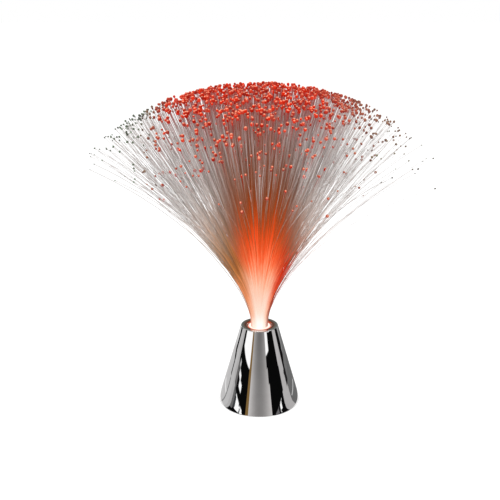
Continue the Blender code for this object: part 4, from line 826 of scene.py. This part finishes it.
# Finishes: two tones, the size of the grain in mm, the range of the roughness, the bump and other settings
BLACK_PLASTIC = ("black_plastic_grain", (30, 30, 32), (38, 38, 40), 0.25, (0.42, 0.6), 0.35, {})
RUBBER = ("foot_rubber", (26, 26, 26), (40, 40, 39), 0.4, (0.7, 0.9), 0.4, {})
STEEL = ("nickel_steel", (178, 176, 172), (196, 195, 192), 0.3, (0.22, 0.38), 0.15, {"metallic": 1.0})
WHITE_PLASTIC = ("white_plastic", (226, 225, 220), (236, 236, 232), 0.5, (0.3, 0.42), 0.15, {})
BOARD = ("solder_mask", (24, 84, 44), (36, 104, 58), 0.6, (0.35, 0.5), 0.2, {})
PHENOLIC = ("phenolic_sheet", (120, 78, 44), (140, 94, 56), 0.3, (0.5, 0.66), 0.3, {})
SLEEVE = ("shrink_sleeve", (24, 24, 24), (34, 34, 33), 0.5, (0.5, 0.7), 0.3, {})
JACKET = ("cell_jacket", (58, 62, 72), (74, 78, 90), 0.4, (0.22, 0.34), 0.1, {"coat_weight": 0.4})
RED_WIRE = ("red_insulation", (168, 26, 22), (186, 34, 28), 0.4, (0.35, 0.5), 0.15, {})
BLACK_WIRE = ("black_insulation", (24, 24, 25), (34, 34, 36), 0.4, (0.35, 0.5), 0.15, {})
LACQUER = ("resistor_lacquer", (204, 178, 130), (216, 192, 146), 0.3, (0.4, 0.55), 0.2, {})
CORE = ("potted_core", (240, 210, 190), (250, 226, 208), 0.5, (0.15, 0.25), 0.1, {})
EPOXY = (0.6, (0.06, 0.14), 0.05, {"transmission_weight": 0.5})
LED_RED = ("led_red_epoxy", (228, 40, 30), (244, 70, 56), *EPOXY)
LED_GREEN = ("led_green_epoxy", (120, 204, 130), (150, 220, 158), *EPOXY)
LED_BLUE = ("led_blue_epoxy", (110, 140, 224), (140, 166, 236), *EPOXY)

# Which nodes have them, by the starts of their names. The first that fits counts, and the rest are of steel.
FINISHES = (
    (("bottom_plate", "battery_door", "switch_knob"), BLACK_PLASTIC),
    ("foot", RUBBER),
    ("battery_cell", JACKET),
    ("switch_back", PHENOLIC),
    ("led_holder", WHITE_PLASTIC),
    ("led_board", BOARD),
    ("bundle_sleeve", SLEEVE),
    ("bundle_core", CORE),
    ("wire_negative", BLACK_WIRE),
    ("wire", RED_WIRE),
    ("resistor", LACQUER),
    ("led_red", LED_RED),
    ("led_green", LED_GREEN),
    ("led_blue", LED_BLUE),
)


def dress_frame():
    wanted = [(starts, grained(*finish)) for starts, finish in FINISHES]
    steel = grained(*STEEL)
    for name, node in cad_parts.items():
        found = next((material for starts, material in wanted if name.startswith(starts)), steel)
        for slot in node.material_slots:
            slot.link = "OBJECT"
            slot.material = found


# The studio


def make_floor():
    """A pale floor that the camera and the mirror finish see as white, with the lamp's shadow on it."""
    n = Nodes("floor")
    path = n.add("LightPath").outputs
    seen = n.math("MAXIMUM", path["Is Glossy Ray"], path["Is Transmission Ray"])
    seen = n.math("MAXIMUM", path["Is Camera Ray"], seen)
    bounce = n.add("BsdfDiffuse", {"Color": (0.8, 0.8, 0.8)})
    shade = n.add("BsdfDiffuse", {"Color": (0.3, 0.3, 0.3)})
    glow = n.add("Emission", {"Color": (1.0, 1.0, 1.0), "Strength": FLOOR_GLOW})
    shown = n.add("AddShader", {0: shade.outputs[0], 1: glow.outputs[0]})
    mixed = n.add("MixShader", {0: seen, 1: bounce.outputs[0], 2: shown.outputs[0]})
    n.tree.links.new(mixed.outputs[0], n.output.inputs["Surface"])
    bm = bmesh.new()
    bmesh.ops.create_grid(bm, x_segments=1, y_segments=1, size=FLOOR_SIZE)
    mesh = bpy.data.meshes.new("floor")
    bm.to_mesh(mesh)
    bm.free()
    floor = made("floor", mesh, n.material)


# What the mirror finish sees: cards round the lamp, as (azimuths, levels, sRGB colour), later ones over
# earlier ones. Azimuths are degrees to the right of the photograph's camera. A level over 0 is a height in mm
# on the round wall, and one under 0 is a place on the floor, that far inside the wall.
SCREEN_RADIUS = 420 * MM
SCREEN_LIFT = 0.6  # mm by which the cards on the floor lie over it
SCREEN_STEP = 0.75  # degrees between its columns
FLOOR_RINGS = ((50, 130, 4), (130, 420, 12))  # from, to and step in mm: closest together near the cone
WALL_RINGS = ((0, 140, 2.5), (140, 621, 15))  # and closest together low on the wall
PARALLAX = 18 * MM  # the floor's cards turn this much more the nearer they come to the cone
CARDS = [
    ((-180, -117), (-400, 700), (212, 212, 212)),
    ((-180, -117), (-400, -120), (190, 189, 189)),
    ((-117, -86), (-400, 700), (188, 187, 187)),
    ((-96, -86), (-400, 700), (176, 175, 175)),
    ((-134, -115), (-100, 700), (16, 16, 16)),
    ((-121, -115), (-200, -100), (60, 60, 60)),
    ((-117, -113), (-400, -200), (122, 122, 122)),
    ((-86, -35), (-400, 700), (9, 9, 9)),
    ((-86, -77), (-330, 38), (104, 103, 103)),
    ((-74, -35), (74, 230), (255, 255, 255)),
    ((-78, -73), (38, 48), (190, 190, 190)),
    ((-74, -64), (30, 40), (250, 250, 250)),
    ((-68, -57), (20, 32), (250, 250, 250)),
    ((-35.5, -28), (-400, 700), (124, 98, 58)),
    ((28, 76), (80, 700), (9, 9, 9)),
    ((31, 77.5), (55, 80), (9, 9, 9)),
    ((34, 79), (-400, 55), (9, 9, 9)),
    ((28, 42), (100, 230), (255, 255, 255)),
    ((42, 58), (132, 230), (255, 255, 255)),
    ((76, 99), (40, 700), (182, 180, 180)),
    ((78, 106), (-400, 40), (176, 174, 174)),
    ((99, 122), (-60, 700), (14, 14, 14)),
    ((101, 113), (-200, -60), (34, 34, 34)),
    ((122, 180), (-60, 700), (146, 146, 146)),
    ((113, 180), (-200, -60), (112, 112, 112)),
    ((106, 180), (-400, -200), (104, 104, 104)),
    ((-71, -47), (-300, 4), (255, 255, 255)),
    ((-78, -71), (-300, 4), (60, 62, 64)),
    ((-57, -54), (-300, 4), (70, 74, 80)),
    ((44, 56), (-300, 2), (104, 102, 104)),
    ((61.5, 67), (-250, 2), (255, 255, 255)),
    ((60.4, 61.8), (-330, -250), (235, 235, 235)),
    ((112, 150), (-322, -314), (208, 208, 208)),
    ((-150, -118), (-322, -312), (232, 232, 232)),
]
# Where no card hangs: its grey by azimuth, and its brightness by level
CENTRE_GREYS = (
    (-28, 184), (-24, 172), (-16, 147), (-8, 128), (0, 120), (8, 124), (16, 138), (24, 156), (34, 178)
)
CENTRE_LEVELS = ((-370, 1.12), (20, 1.09), (60, 1.04), (100, 0.97), (130, 0.93), (700, 0.93))
CENTRE_WARMTH = (1, 0.985, 0.98)
BACK_CARD = ((150, 210), (190, 420), (104, 108, 103))


def screen_levels():
    """The levels of the screen's rings, from the middle of the floor to the top of the wall."""
    floor = [np.arange(*rings) - SCREEN_RADIUS / MM for rings in FLOOR_RINGS]
    wall = [np.arange(*rings) for rings in WALL_RINGS]
    return np.concatenate(floor + wall)


def within(values, limits):
    return (values >= limits[0]) & (values < limits[1])


def painted_cards(azimuth, level, radius):
    """The linear colour of each point of the screen."""
    painted = azimuth * np.where(level < 0, 1 + PARALLAX / radius, 1)
    grey = np.interp(azimuth, *np.array(CENTRE_GREYS).T) * np.interp(level, *np.array(CENTRE_LEVELS).T)
    colour = np.stack([grey * share for share in CENTRE_WARMTH], axis=-1)
    for azimuths, levels, card in CARDS:
        colour[within(painted, azimuths) & within(level, levels)] = card
    azimuths, levels, card = BACK_CARD
    colour[within(azimuth % 360, azimuths) & within(level, levels)] = card
    return made_linear(colour)


def make_mirror_screen():
    """A floor ring and a round wall, painted with the cards, that only mirror reflections see."""
    azimuths = np.arange(-180, 180, SCREEN_STEP)
    level, azimuth = np.meshgrid(screen_levels(), azimuths, indexing="ij")
    radius = np.minimum(SCREEN_RADIUS + level * MM, SCREEN_RADIUS)
    colour = painted_cards(azimuth, level, radius)
    turn = np.radians(azimuth) - math.pi / 2
    height = np.maximum(level, SCREEN_LIFT) * MM
    points = np.stack([radius * np.cos(turn), radius * np.sin(turn), height], axis=-1)
    index = np.arange(level.size).reshape(level.shape)
    after = np.roll(index, -1, axis=1)
    quads = np.stack([index[:-1], after[:-1], after[1:], index[1:]], axis=-1).reshape(-1, 4)
    mesh = solid("mirror_screen", points.reshape(-1, 3), [quads], {})
    shades = np.concatenate([colour.reshape(-1, 3), np.ones((level.size, 1))], axis=1).astype(np.float32)
    mesh.attributes.new("card", "FLOAT_COLOR", "POINT").data.foreach_set("color", shades.reshape(-1))
    n = Nodes("mirror_screen")
    card = n.add("Attribute", attribute_name="card").outputs["Color"]
    glow = n.add("Emission", {"Color": card, "Strength": 1 / CHROME_SHARE})
    n.tree.links.new(glow.outputs[0], n.output.inputs["Surface"])
    screen = made("mirror_screen", mesh, n.material)
    for kind in ("camera", "diffuse", "transmission", "volume_scatter", "shadow"):
        setattr(screen, f"visible_{kind}", False)


def make_lights():
    for name, at, size, power in LIGHTS:
        data = bpy.data.lights.new(name, "AREA")
        data.shape = "SQUARE"
        data.size = size
        data.energy = power
        light = bpy.data.objects.new(name, data)
        bpy.context.scene.collection.objects.link(light)
        light.location = at
        light.rotation_euler = (Vector(LIGHT_AIM) - Vector(at)).to_track_quat("-Z", "Y").to_euler()


def make_world():
    """Soft light all round, which the camera, mirrors and glass see as white."""
    world = bpy.data.worlds.new("studio")
    bpy.context.scene.world = world
    world.use_nodes = True
    tree = world.node_tree
    tree.nodes.clear()
    output = tree.nodes.new("ShaderNodeOutputWorld")
    path = tree.nodes.new("ShaderNodeLightPath")
    seen = path.outputs["Is Camera Ray"]
    for key in ("Is Glossy Ray", "Is Transmission Ray"):
        most = tree.nodes.new("ShaderNodeMath")
        most.operation = "MAXIMUM"
        tree.links.new(seen, most.inputs[0])
        tree.links.new(path.outputs[key], most.inputs[1])
        seen = most.outputs[0]
    mixed = tree.nodes.new("ShaderNodeMixShader")
    tree.links.new(seen, mixed.inputs[0])
    for place, strength in ((1, WORLD_STRENGTH), (2, 1.0)):
        light = tree.nodes.new("ShaderNodeBackground")
        light.inputs["Color"].default_value = (1, 1, 1, 1)
        light.inputs["Strength"].default_value = strength
        tree.links.new(light.outputs[0], mixed.inputs[place])
    tree.links.new(mixed.outputs[0], output.inputs["Surface"])


def make_camera():
    data = bpy.data.cameras.new("camera")
    data.sensor_width = SENSOR_WIDTH
    data.lens = SENSOR_WIDTH * CAMERA_FOCUS / IMAGE_SIZE
    data.clip_start, data.clip_end = 0.01, 50
    camera = bpy.data.objects.new("camera", data)
    bpy.context.scene.collection.objects.link(camera)
    camera.location = CAMERA_PLACE
    camera.rotation_euler = (math.radians(90 - CAMERA_PITCH), 0, math.radians(CAMERA_YAW))
    bpy.context.scene.camera = camera


make_camera()
make_world()
make_lights()
make_floor()
make_mirror_screen()
dress_frame()
make_shell()
make_collar()
make_fibres()

bpy.context.scene.view_settings.view_transform = "Standard"
